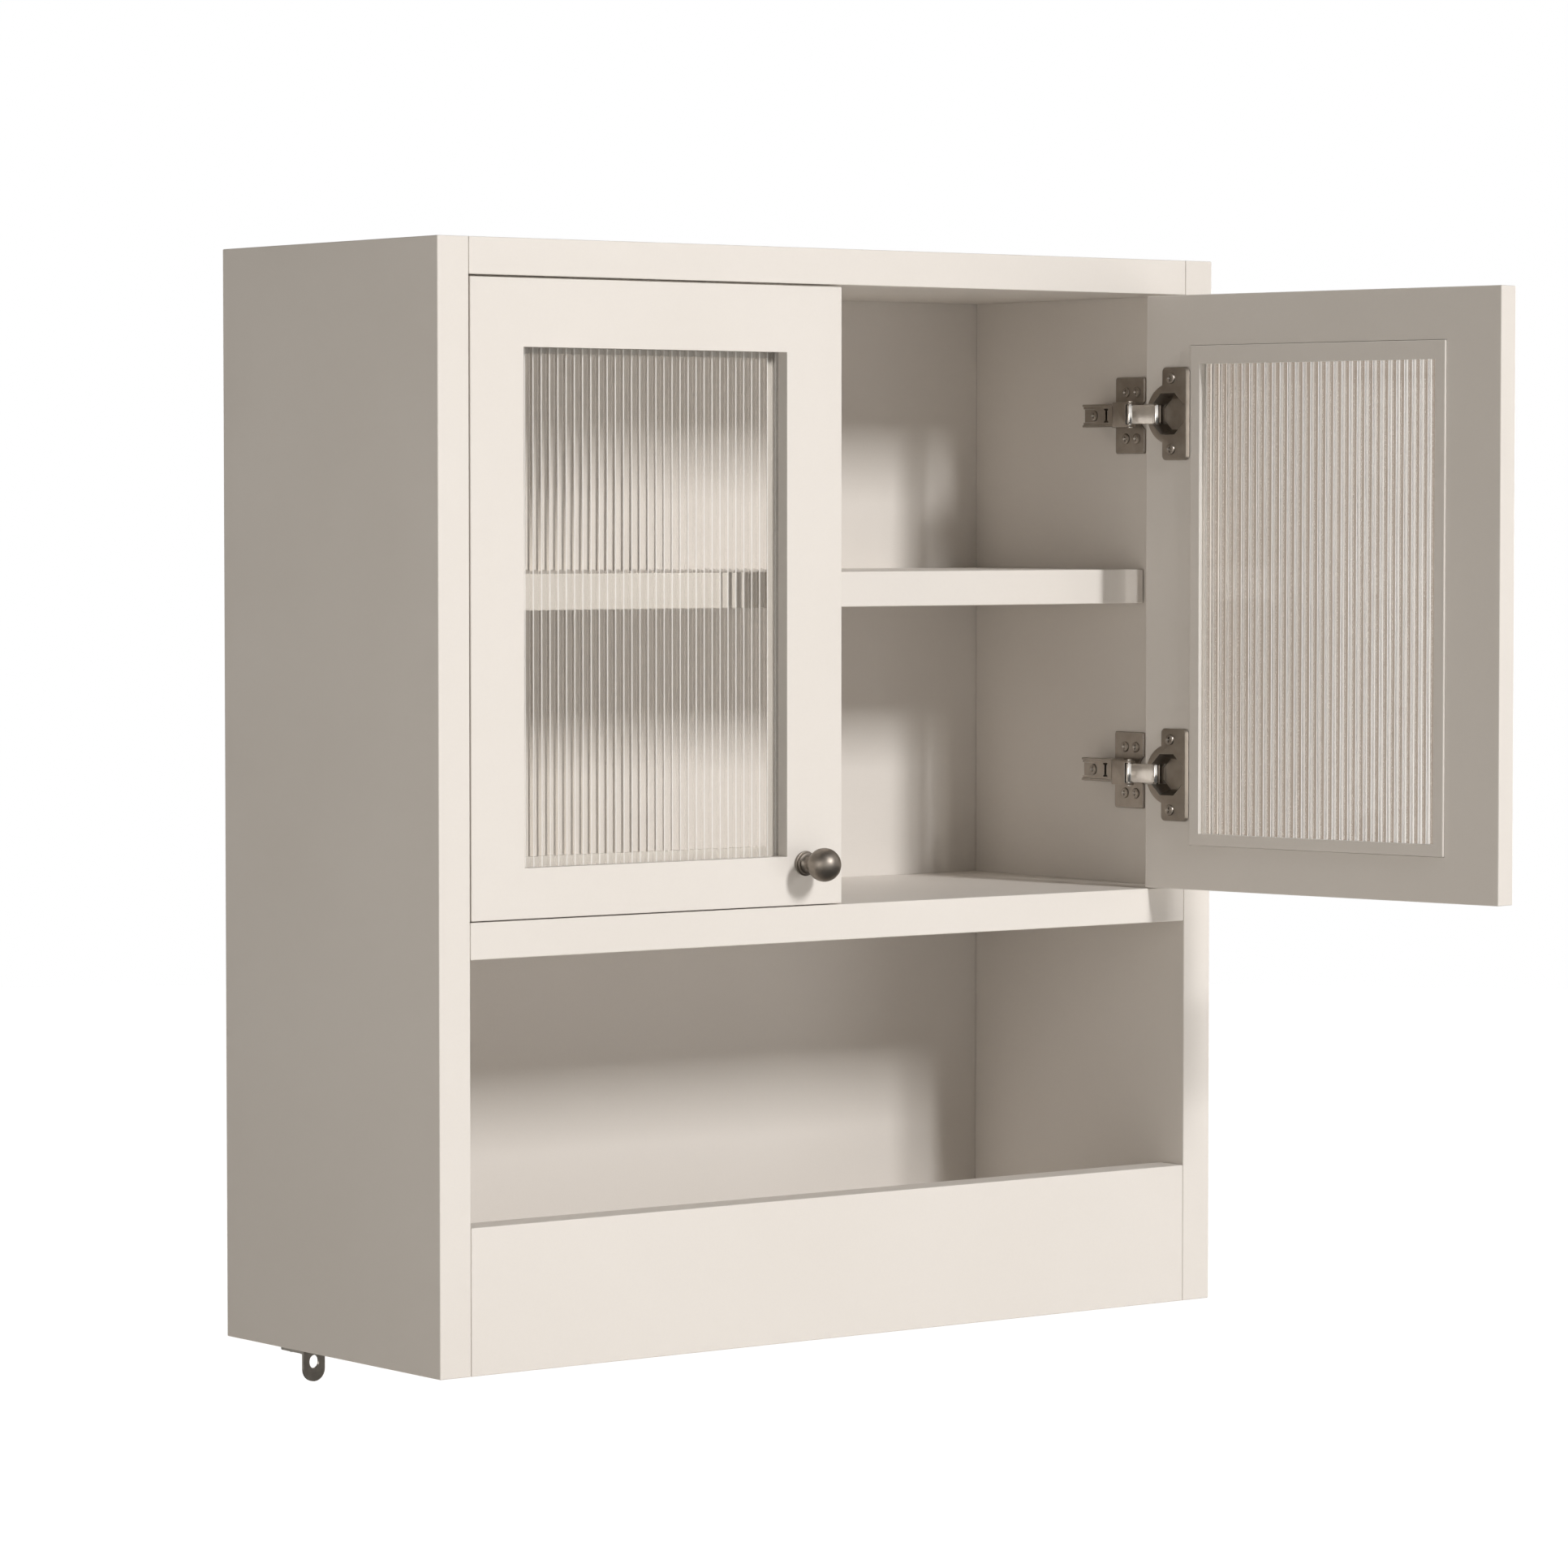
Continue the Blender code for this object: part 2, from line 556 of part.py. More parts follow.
def hinge_cup(name, height, finish, axis, mirrored):
    """Cup with its screw flange, an eight-sided pocket and a notch whose walls hold the link's pivot."""
    place = {"mirrored": mirrored, "origin": CUP_PIVOT}
    flange = door_prism(flange_outline(), height, FIT, FIT + FLANGE_THICKNESS)
    cup = body(name, flange, finish, axis, **place)
    circle = arc((CUP_CENTRE_INSET, 0), CUP_RADIUS, 0, 360, ROUND_STEPS)[:-1]
    well = door_prism(circle, height, -CUP_DEPTH, FIT + FLANGE_THICKNESS / 2)
    shaped(cup, "UNION", "well", well, **place)
    corner = POCKET_RADIUS / math.cos(math.pi / 8)
    octagon = arc((CUP_CENTRE_INSET, 0), corner, 22.5, 382.5, 8)[:-1]
    pocket = door_prism(octagon, height, -POCKET_DEPTH, FLANGE_THICKNESS + CUT_PAST)
    shaped(cup, "DIFFERENCE", "pocket", pocket, **place)
    notch = link_notch(height, FORK_INNER, NOTCH_DEPTH)
    shaped(cup, "DIFFERENCE", "notch", notch, **place)
    pivot = rod(PIVOT_RADIUS, -PIVOT_REACH, PIVOT_REACH)
    shaped(cup, "UNION", "pivot", facing(pivot, (0, 0, 1), CUP_PIVOT + Vector((0, 0, height))), **place)
    holes = []
    for sign in (-1, 1):
        hole = rod(SHANK_HOLE, -CUT_PAST, FLANGE_THICKNESS + CUT_PAST)
        centre = (DOOR_HINGE - CUP_SCREW_INSET, DOOR_BACK, height + sign * CUP_SCREW_SPACING / 2)
        holes.append(facing(hole, (0, 1, 0), centre))
        seat = (centre[0], centre[1] + FIT + FLANGE_THICKNESS, centre[2])
        screw = facing(screw_shape(CUP_SCREW_LENGTH), (0, 1, 0), seat)
        end = "top" if sign > 0 else "bottom"
        body(f"{name}_{end}_screw", screw, finish, axis, smooth=True, **place)
    shaped(cup, "DIFFERENCE", "screw_holes", joined(*holes), **place)


def hinge_link(name, height, finish, axis, mirrored):
    """Flat strap with an eye at each end, drawn in the closed pose."""
    place = {"mirrored": mirrored, "origin": ARM_PIVOT}
    along = CUP_PIVOT - ARM_PIVOT
    heading = math.degrees(math.atan2(along.y, along.x))
    spread = math.degrees(math.asin(LINK_STRAP / 2 / LINK_EYE_RADIUS))
    outline = arc(ARM_PIVOT, LINK_EYE_RADIUS, heading + spread, heading + 360 - spread, SMALL_STEPS)
    outline += arc(CUP_PIVOT, LINK_EYE_RADIUS, heading - 180 + spread, heading + 180 - spread, SMALL_STEPS)
    low, high = height - LINK_HEIGHT / 2, height + LINK_HEIGHT / 2
    link = body(name, prism(outline, low, high), finish, axis, **place)
    bores = []
    for pivot in (ARM_PIVOT, CUP_PIVOT):
        bore = rod(PIVOT_RADIUS + PIVOT_CLEARANCE, low - CUT_PAST, high + CUT_PAST)
        bores.append(facing(bore, (0, 0, 1), pivot))
    shaped(link, "DIFFERENCE", "eyes", joined(*bores), **place)


def off_panel(points):
    """Maps (distance off the side panel, distance from the front) to the cabinet's x and y."""
    return [(INNER - off, FRONT + back) for off, back in points]


def hinge_arm(name, height, finish, root, mirrored):
    """Cranked arm: a low foot on the saddle, a slope, and a fork that holds the link's pivot."""
    foot_low = SADDLE_HEIGHT + FIT
    foot_high = ARM_TOP_LOW
    eye_off = ARM_PIVOT_OFF_PANEL
    eye_back = DOOR_THICKNESS + ARM_PIVOT_BEHIND_DOOR
    eye = arc((eye_off, eye_back), ARM_EYE_RADIUS, 0, -180, 8)
    crank_low = ARM_LOW_END_FROM_FRONT - ARM_BAND
    crank_high = ARM_HIGH_START_FROM_FRONT - ARM_BAND
    outline = [(foot_low, ARM_REAR_FROM_FRONT), (foot_high, ARM_REAR_FROM_FRONT)]
    outline += [(foot_high, ARM_LOW_END_FROM_FRONT), (eye_off + ARM_EYE_RADIUS, ARM_HIGH_START_FROM_FRONT)]
    outline += eye
    outline += [(eye_off - ARM_EYE_RADIUS, crank_high), (foot_low, crank_low)]
    blank = prism(off_panel(outline), height - FORK_OUTER, height + FORK_OUTER)
    arm = body(name, blank, finish, root, mirrored)
    trims = []
    for sign in (-1, 1):
        low, high = sorted((height + sign * ARM_HEIGHT / 2, height + sign * (FORK_OUTER + CUT_PAST)))
        near = (INNER - foot_high - CUT_PAST, FRONT + ARM_LOW_END_FROM_FRONT, low)
        far = (INNER, FRONT + ARM_REAR_FROM_FRONT + CUT_PAST, high)
        trims.append(box(near, far))
    shaped(arm, "DIFFERENCE", "trims", joined(*trims), mirrored)
    fork = arc((eye_off, eye_back), LINK_ROOM, 180, 0, 8)
    fork += [(eye_off + LINK_ROOM, eye_back - ARM_EYE_RADIUS - CUT_PAST)]
    fork += [(eye_off - LINK_ROOM - CUT_PAST, eye_back - ARM_EYE_RADIUS - CUT_PAST)]
    fork += [(eye_off - LINK_ROOM - CUT_PAST, eye_back + LINK_STRAP)]
    fork_cut = prism(off_panel(fork), height - FORK_INNER, height + FORK_INNER)
    shaped(arm, "DIFFERENCE", "fork", fork_cut, mirrored)
    pivot = rod(PIVOT_RADIUS, -PIVOT_REACH, PIVOT_REACH)
    shaped(arm, "UNION", "pivot", facing(pivot, (0, 0, 1), ARM_PIVOT + Vector((0, 0, height))), mirrored)
    screw_place = (INNER - foot_high, FRONT + ARM_SCREW_FROM_FRONT, height)
    hole = rod(SHANK_HOLE, -ARM_BAND - CUT_PAST, CUT_PAST)
    shaped(arm, "DIFFERENCE", "screw_hole", facing(hole, (-1, 0, 0), screw_place), mirrored)
    slot_long, slot_high = ARM_SLOT_SIZE
    slot_y = FRONT + ARM_SLOT_FROM_FRONT
    slot = box(
        (INNER - foot_high - CUT_PAST, slot_y - slot_long / 2, height - slot_high / 2),
        (INNER - foot_high + ARM_SLOT_DEPTH, slot_y + slot_long / 2, height + slot_high / 2),
    )
    shaped(arm, "DIFFERENCE", "slot", slot, mirrored)
    screw = facing(screw_shape(ARM_SCREW_LENGTH), (-1, 0, 0), screw_place)
    body(f"{name}_screw", screw, finish, root, mirrored, smooth=True)


def mounting_plate(name, height, finish, root, mirrored):
    """Winged plate on the side panel with its four screw heads and the saddle that carries the arm."""
    near = FRONT + PLATE_FROM_FRONT
    wings = rounded_box(
        (INNER - FIT - PLATE_THICKNESS, near, height - PLATE_HEIGHT / 2),
        (INNER - FIT, near + PLATE_WIDTH, height + PLATE_HEIGHT / 2),
        PLATE_THICKNESS / 4,
    )
    plate = body(name, wings, finish, root, mirrored)
    saddle_near = FRONT + SADDLE_FROM_FRONT
    saddle = box(
        (INNER - SADDLE_HEIGHT, saddle_near, height - SADDLE_WIDTH / 2),
        (INNER - FIT, saddle_near + SADDLE_LENGTH, height + SADDLE_WIDTH / 2),
    )
    shaped(plate, "UNION", "saddle", saddle, mirrored)
    heads = []
    for row in PLATE_SCREW_ROWS:
        for sign in (-1, 1):
            head = rod(SCREW_HEAD_RADIUS, PLATE_THICKNESS / 2, PLATE_THICKNESS + SCREW_HEAD_THICKNESS * 0.6)
            centre = (INNER - FIT, near + row, height + sign * PLATE_SCREW_SPACING / 2)
            heads.append(facing(head, (-1, 0, 0), centre))
    shaped(plate, "UNION", "screw_heads", joined(*heads), mirrored)
    screw_place = (INNER - ARM_TOP_LOW, FRONT + ARM_SCREW_FROM_FRONT, height)
    depth = ARM_SCREW_LENGTH + FIT
    hole = facing(rod(SHANK_HOLE, -depth, CUT_PAST), (-1, 0, 0), screw_place)
    shaped(plate, "DIFFERENCE", "screw_hole", hole, mirrored)


def hinges(side, finish, root, link_axis, door_axis):
    mirrored = SIDES[side] < 0
    for level, height in HINGE_HEIGHTS.items():
        name = f"{side}_{level}_hinge"
        hinge_cup(f"{name}_cup", height, finish["nickel"], door_axis, mirrored)
        hinge_link(f"{name}_link", height, finish["chrome"], link_axis, mirrored)
        hinge_arm(f"{name}_arm", height, finish["nickel"], root, mirrored)
        mounting_plate(f"{name}_plate", height, finish["nickel"], root, mirrored)


def door(side, finish, root):
    link_axis, door_axis = door_axes(side, root)
    door_frame(side, finish["paint"], door_axis)
    glass_pane(side, finish["glass"], door_axis)
    retainer(side, finish["paint"], door_axis)
    knob(side, finish["pewter"], door_axis)
    hinges(side, finish, root, link_axis, door_axis)


def bracket(side, finish, root):
    """Angle under a side panel: a leg screwed to the panel's edge and a slotted ear that hangs down."""
    mirrored = SIDES[side] < 0
    middle = WIDTH / 2 - BOARD / 2
    half = BRACKET_WIDTH / 2
    ear_front = FRONT + BRACKET_FROM_FRONT
    top = -FIT
    leg_end = ear_front + BRACKET_LEG - half
    leg_outline = [(middle - half, ear_front), (middle + half, ear_front)]
    leg_outline += arc((middle, leg_end), half, 0, 180, SMALL_STEPS)
    leg = body(f"{side}_bracket", prism(leg_outline, top - BRACKET_PLATE, top), finish, root, mirrored)
    ear_outline = [(middle + half, -top), (middle - half, -top)]
    ear_outline += arc((middle, BRACKET_DROP - half), half, 180, 0, SMALL_STEPS)
    upright = Matrix(((1, 0, 0, 0), (0, 0, 1, 0), (0, -1, 0, 0), (0, 0, 0, 1)))
    ear = prism(ear_outline, ear_front, ear_front + BRACKET_PLATE)
    ear.transform(upright)
    shaped(leg, "UNION", "ear", ear, mirrored)
    slot_half = BRACKET_SLOT_WIDTH / 2
    slot_end = BRACKET_DROP - BRACKET_SLOT_FROM_END
    slot_outline = arc((middle, slot_end - slot_half), slot_half, 180, 0, 8)
    slot_outline += arc((middle, slot_end - BRACKET_SLOT_LENGTH + slot_half), slot_half, 0, -180, 8)
    slot = prism(slot_outline, ear_front - CUT_PAST, ear_front + BRACKET_PLATE + CUT_PAST)
    slot.transform(upright)
    shaped(leg, "DIFFERENCE", "slot", slot, mirrored)
    holes = []
    for where, step in zip(("front", "rear"), BRACKET_SCREWS_FROM_TAB):
        y = ear_front + step
        hole = rod(SHANK_HOLE, top - BRACKET_PLATE - CUT_PAST, top + CUT_PAST)
        holes.append(facing(hole, (0, 0, 1), (middle, y, 0)))
        screw = facing(screw_shape(BRACKET_SCREW_LENGTH), (0, 0, -1), (middle, y, top - BRACKET_PLATE))
        body(f"{side}_bracket_{where}_screw", screw, finish, root, mirrored, smooth=True)
    shaped(leg, "DIFFERENCE", "holes", joined(*holes), mirrored)


def main():
    clear_scene()
    finish = finishes()
    root = empty("cabinet", (0, 0, -RAIL_MIDDLE))
    carcass(finish["paint"], finish["rail"], root)
    shelf(finish["paint"], finish["steel"], root)
    for side in SIDES:
        door(side, finish, root)
        bracket(side, finish["steel"], root)


main()
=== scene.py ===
"""Looks of a wall-hung bathroom cabinet: painted boards, ribbed glass, concealed hinges and knobs."""

import json
import math

import bmesh
import bpy
from mathutils import Matrix, Vector


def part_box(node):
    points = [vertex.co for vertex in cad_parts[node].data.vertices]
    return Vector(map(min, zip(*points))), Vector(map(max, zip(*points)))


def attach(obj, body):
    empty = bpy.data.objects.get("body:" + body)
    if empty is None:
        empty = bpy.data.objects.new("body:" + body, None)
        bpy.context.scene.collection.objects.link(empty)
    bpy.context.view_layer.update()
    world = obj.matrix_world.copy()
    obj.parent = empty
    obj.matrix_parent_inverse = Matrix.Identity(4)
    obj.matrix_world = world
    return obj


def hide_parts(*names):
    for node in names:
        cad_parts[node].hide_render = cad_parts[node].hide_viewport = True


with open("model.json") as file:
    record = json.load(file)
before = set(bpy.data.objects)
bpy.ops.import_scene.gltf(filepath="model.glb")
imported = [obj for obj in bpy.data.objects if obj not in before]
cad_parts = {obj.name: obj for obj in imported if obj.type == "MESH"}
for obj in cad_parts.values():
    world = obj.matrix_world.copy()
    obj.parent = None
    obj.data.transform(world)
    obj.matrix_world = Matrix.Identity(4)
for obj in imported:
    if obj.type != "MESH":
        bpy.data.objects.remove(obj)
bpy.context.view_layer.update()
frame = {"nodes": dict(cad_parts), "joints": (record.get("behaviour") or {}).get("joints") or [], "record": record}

# Places taken from the frame
joints = {joint["name"]: joint for joint in frame["joints"]}
SIDES = ("left", "right")
LEVELS = ("lower", "upper")
ARM_PIN = Vector(joints["right_link_swing"]["pos_m"])
LEFT_CUP_PIN = Vector(joints["left_door_swing"]["pos_m"])
CUP_PIN = Vector((-LEFT_CUP_PIN.x, LEFT_CUP_PIN.y, LEFT_CUP_PIN.z))
LINK_SWING = math.radians(joints["right_link_swing"]["range_deg"][1])
DOOR_SWING = math.radians(-joints["right_door_swing"]["range_deg"][0])
CLOSED_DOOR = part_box("left_door_frame")
DOOR_HINGE = -CLOSED_DOOR[0].x
DOOR_FRONT = CLOSED_DOOR[0].y
DOOR_BACK = CLOSED_DOOR[1].y
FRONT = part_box("front_apron")[0].y
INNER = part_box("right_side_panel")[0].x
CLOSED_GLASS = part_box("left_glass_pane")
HINGE_HEIGHT = {}
for level in LEVELS:
    plate_low, plate_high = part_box(f"right_{level}_hinge_plate")
    HINGE_HEIGHT[level] = (plate_low.z + plate_high.z) / 2

# Hinge sizes, in metres, as in the solids
FIT = 0.0003
PAST = 0.002
CUP_CENTRE = 0.0186
CUP_RADIUS = 0.0158
CUP_DEPTH = 0.0105
RIM_CENTRE = 0.0207
RIM_RADIUS = 0.0195
FLANGE_NEAR = 0.0136
FLANGE_FAR = 0.0356
FLANGE_HALF = 0.0295
FLANGE_CORNER = 0.003
FLANGE_TOP = 0.0015
NOTCH_DEPTH = 0.0073
CUP_SCREW_INSET = 0.0212
CUP_SCREW_HALF = 0.0225
CUP_PIN_HALF = 0.0068
LINK_HALF = 0.006
LINK_STRAP = 0.0014
LINK_EYE = 0.0026
LINK_ROOM = 0.0033
FORK_HALF = 0.0064
ARM_HALF = 0.0074
COVER_HALF = 0.008
ARM_FOOT = 0.010
ARM_TOP = 0.015
ARM_REAR = 0.0845
COVER_REAR = 0.0545
COVER_CREST = 0.035
ARM_EYE = 0.0032
ARM_SCREW_BACK = 0.0745
ARM_SLOT_BACK = 0.0618
PLATE_NEAR = 0.0382
PLATE_WIDTH = 0.0286
PLATE_HALF = 0.0247
PLATE_THICKNESS = 0.0016
PLATE_ROWS = (0.0075, 0.018)
PLATE_SCREW_HALF = 0.015
BITE_AHEAD = 0.0055
BITE_RADIUS = 0.0108
SADDLE_NEAR = 0.046
SADDLE_FAR = 0.083
SADDLE_HALF = 0.0055
SADDLE_TOP = 0.0097
HEAD_RADIUS = 0.0034
HEAD_THICKNESS = 0.0014
LOW_HEAD_THICKNESS = 0.0011
HEAD_SINK = 0.0001
ARM_SCREW_SEAT = 0.0129
PIN_RADIUS = 0.00125
EDGE_ROUND = 0.0004
LINK_ROUND = 0.00025

# Glass and knob sizes
RIB_PITCH = 0.0060
RIB_RISE = 0.0006
RIB_STEPS = 12
# Width of the frosted valley strip, a painted highlight line on each rib
HIGHLIGHT_LINE_WIDTH = 0.0008
RIB_HALF = (RIB_PITCH - HIGHLIGHT_LINE_WIDTH) / 2
RIB_RADIUS = (RIB_HALF ** 2 + RIB_RISE ** 2) / (2 * RIB_RISE)
RIB_SMOOTH = 40
HIGHLIGHT_LINE_SLOT = 1
HIGHLIGHT_CREST_SLOT = 2
GLASS_EDGE_FLAT = 0.002
KNOB_BALL_RADIUS = 0.01035
KNOB_BALL_REACH = 0.020


def prism(outline, low, high):
    """Closed prism of an outline in x and y between two heights."""
    return loft([[(x, y, z) for x, y in outline] for z in (low, high)])


def loft(rings):
    """Closed skin through rings of the same number of points, capped at both ends."""
    bm = bmesh.new()
    rows = [[bm.verts.new(point) for point in ring] for ring in rings]
    count = len(rings[0])
    for lower, upper in zip(rows, rows[1:]):
        for i in range(count):
            j = (i + 1) % count
            bm.faces.new((lower[i], lower[j], upper[j], upper[i]))
    bm.faces.new(list(reversed(rows[0])))
    bm.faces.new(rows[-1])
    bmesh.ops.recalc_face_normals(bm, faces=bm.faces)
    return bm


def turned(profile, steps):
    """Skin of a (radius, height) profile spun about Z, on the axis at both ends."""
    bm = bmesh.new()
    foot, tip = [bm.verts.new((0, 0, height)) for _, height in (profile[0], profile[-1])]
    rows = []
    for radius, height in profile[1:-1]:
        ring = arc((0, 0), radius, 0, 360, steps)[:-1]
        rows.append([bm.verts.new((x, y, height)) for x, y in ring])
    for i in range(steps):
        j = (i + 1) % steps
        bm.faces.new((foot, rows[0][j], rows[0][i]))
        for lower, upper in zip(rows, rows[1:]):
            bm.faces.new((lower[i], lower[j], upper[j], upper[i]))
        bm.faces.new((tip, rows[-1][i], rows[-1][j]))
    bmesh.ops.recalc_face_normals(bm, faces=bm.faces)
    return bm


def rod(radius, half):
    """Round rod along Z, the same to both sides of the origin."""
    return turned([(0, -half), (radius, -half), (radius, half), (0, half)], 20)


def box(one, other):
    """Block between two opposite corners."""
    low = [min(pair) for pair in zip(one, other)]
    high = [max(pair) for pair in zip(one, other)]
    outline = [(low[0], low[1]), (high[0], low[1]), (high[0], high[1]), (low[0], high[1])]
    return prism(outline, low[2], high[2])


def arc(centre, radius, start, end, steps):
    """Points of an arc from one angle to another, in degrees."""
    points = []
    for step in range(steps + 1):
        angle = math.radians(start + (end - start) * step / steps)
        points.append((centre[0] + radius * math.cos(angle), centre[1] + radius * math.sin(angle)))
    return points


def facing(bm, direction, place):
    """Turns a shape's Z axis to a direction and moves its origin to a place."""
    turn = Vector((0, 0, 1)).rotation_difference(Vector(direction)).to_matrix().to_4x4()
    bm.transform(Matrix.Translation(place) @ turn)
    return bm


def mesh_from(bm, name):
    mesh = bpy.data.meshes.new(name)
    bm.to_mesh(mesh)
    bm.free()
    return mesh


def merged(*parts):
    """Puts closed shapes side by side into one mesh."""
    whole = parts[0]
    for part in parts[1:]:
        mesh = mesh_from(part, "part")
        whole.from_mesh(mesh)
        bpy.data.meshes.remove(mesh)
    return whole


def carved(base, *steps):
    """Runs unions and cuts on a shape, one after another, and gives the finished shape."""
    made = []
    for bm in [base] + [step[1] for step in steps]:
        obj = bpy.data.objects.new("shape", mesh_from(bm, "shape"))
        bpy.context.scene.collection.objects.link(obj)
        made.append(obj)
    for (operation, _), helper in zip(steps, made[1:]):
        modifier = made[0].modifiers.new(operation, "BOOLEAN")
        modifier.operation = operation
        modifier.object = helper
        modifier.solver = "EXACT"
    bpy.context.view_layer.update()
    result = bmesh.new()
    result.from_mesh(made[0].evaluated_get(bpy.context.evaluated_depsgraph_get()).to_mesh())
    for obj in made:
        mesh = obj.data
        bpy.data.objects.remove(obj)
        bpy.data.meshes.remove(mesh)
    return result


def softened(bm, width, angle=25):
    """Rounds the edges that are sharper than an angle."""
    limit = math.radians(angle)
    edges = [edge for edge in bm.edges if len(edge.link_faces) == 2 and edge.calc_face_angle() > limit]
    rounding = {"offset": width, "segments": 2, "profile": 0.5, "clamp_overlap": True}
    bmesh.ops.bevel(bm, geom=edges, affect="EDGES", **rounding)
    return bm


def door_point(inset, height, rise):
    """Place on the closed right door: distance from its hinge edge, height, rise off its inner face."""
    return (DOOR_HINGE - inset, DOOR_BACK + rise, height)


def panel_point(off, back, height):
    """Place by the right side panel: distance off it, distance behind the front, height."""
    return (INNER - off, FRONT + back, height)


def turn_about(pin, angle):
    """Upright turn about a pin."""
    return Matrix.Translation(pin) @ Matrix.Rotation(angle, 4, "Z") @ Matrix.Translation(-pin)


# Rest turns of the open right door and its links
LINK_TURN = turn_about(ARM_PIN, -LINK_SWING)
REST_TURN = {"right_links": LINK_TURN, "right_door": LINK_TURN @ turn_about(CUP_PIN, DOOR_SWING)}


def piece(name, bm, material, slot, body, side, height=0.0, replaces=(), smooth=30, others=()):
    """Lifts a piece drawn on the closed right side, mirrors or opens it, and lets it ride on its body."""
    bm = bm.copy()
    bm.transform(Matrix.Translation((0, 0, height)))
    if side == "left":
        bm.transform(Matrix.Diagonal((-1, 1, 1, 1)))
        bmesh.ops.reverse_faces(bm, faces=bm.faces)
    bm.transform(REST_TURN.get(body, Matrix.Identity(4)))
    mesh = mesh_from(bm, name)
    mesh.shade_smooth()
    mesh.set_sharp_from_angle(angle=math.radians(smooth))
    for coat in (material, *others):
        mesh.materials.append(coat)
    obj = bpy.data.objects.new(name, mesh)
    bpy.context.scene.collection.objects.link(obj)
    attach(obj, body)
    if replaces:
        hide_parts(*replaces)
    return obj


# Shader groups shared by the finishes
def new_group(name, inputs, outputs):
    tree = bpy.data.node_groups.new(name, "ShaderNodeTree")
    for label, kind, value in inputs:
        socket = tree.interface.new_socket(label, in_out="INPUT", socket_type=kind)
        socket.default_value = value
    for label, kind in outputs:
        tree.interface.new_socket(label, in_out="OUTPUT", socket_type=kind)
    return tree, tree.nodes.new("NodeGroupInput").outputs, tree.nodes.new("NodeGroupOutput").inputs


def add_node(tree, kind, values=None, **settings):
    made = tree.nodes.new(kind)
    for setting, value in settings.items():
        setattr(made, setting, value)
    for socket, value in (values or {}).items():
        if isinstance(value, bpy.types.NodeSocket):
            tree.links.new(value, made.inputs[socket])
        else:
            made.inputs[socket].default_value = value
    return made


def noise(tree, vector, scale, detail=2.0, roughness=0.5):
    values = {"Vector": vector, "Scale": scale, "Detail": detail, "Roughness": roughness}
    return add_node(tree, "ShaderNodeTexNoise", values).outputs["Fac"]


def ranged(tree, value, low, high, to_low=0.0, to_high=1.0):
    values = {"Value": value, "From Min": low, "From Max": high, "To Min": to_low, "To Max": to_high}
    return add_node(tree, "ShaderNodeMapRange", values).outputs["Result"]


def blended(tree, share, first, second):
    values = {0: share, 6: first, 7: second}
    return add_node(tree, "ShaderNodeMix", values, data_type="RGBA").outputs[2]


def maths(tree, operation, first, second=0.0):
    return add_node(tree, "ShaderNodeMath", {0: first, 1: second}, operation=operation).outputs[0]


def aligned(tree, one, other):
    """1 where two unit vectors point the same way."""
    values = {0: one, 1: other}
    return add_node(tree, "ShaderNodeVectorMath", values, operation="DOT_PRODUCT").outputs["Value"]


def object_place(tree, stretch=(1, 1, 1)):
    place = tree.nodes.new("ShaderNodeTexCoord").outputs["Object"]
    return add_node(tree, "ShaderNodeMapping", {"Vector": place, "Scale": stretch}).outputs["Vector"]


COLOUR = "NodeSocketColor"
FLOAT = "NodeSocketFloat"


def edge_group():
    """Mask that is 1 on outer edges and 0 on faces, for a lighter edge colour that is partly wear and partly a
    painted edge highlight.
    """
    inputs = [("Width", FLOAT, 0.001), ("Strength", FLOAT, 1.0)]
    tree, given, out = new_group("edge_wear_and_highlight", inputs, [("Mask", FLOAT)])
    rounded = add_node(tree, "ShaderNodeBevel", {"Radius": given["Width"]}, samples=4).outputs["Normal"]
    normal = tree.nodes.new("ShaderNodeNewGeometry").outputs["Normal"]
    same = aligned(tree, rounded, normal)
    turned_away = ranged(tree, same, 0.995, 0.80)
    tree.links.new(maths(tree, "MULTIPLY", turned_away, given["Strength"]), out["Mask"])
    return tree


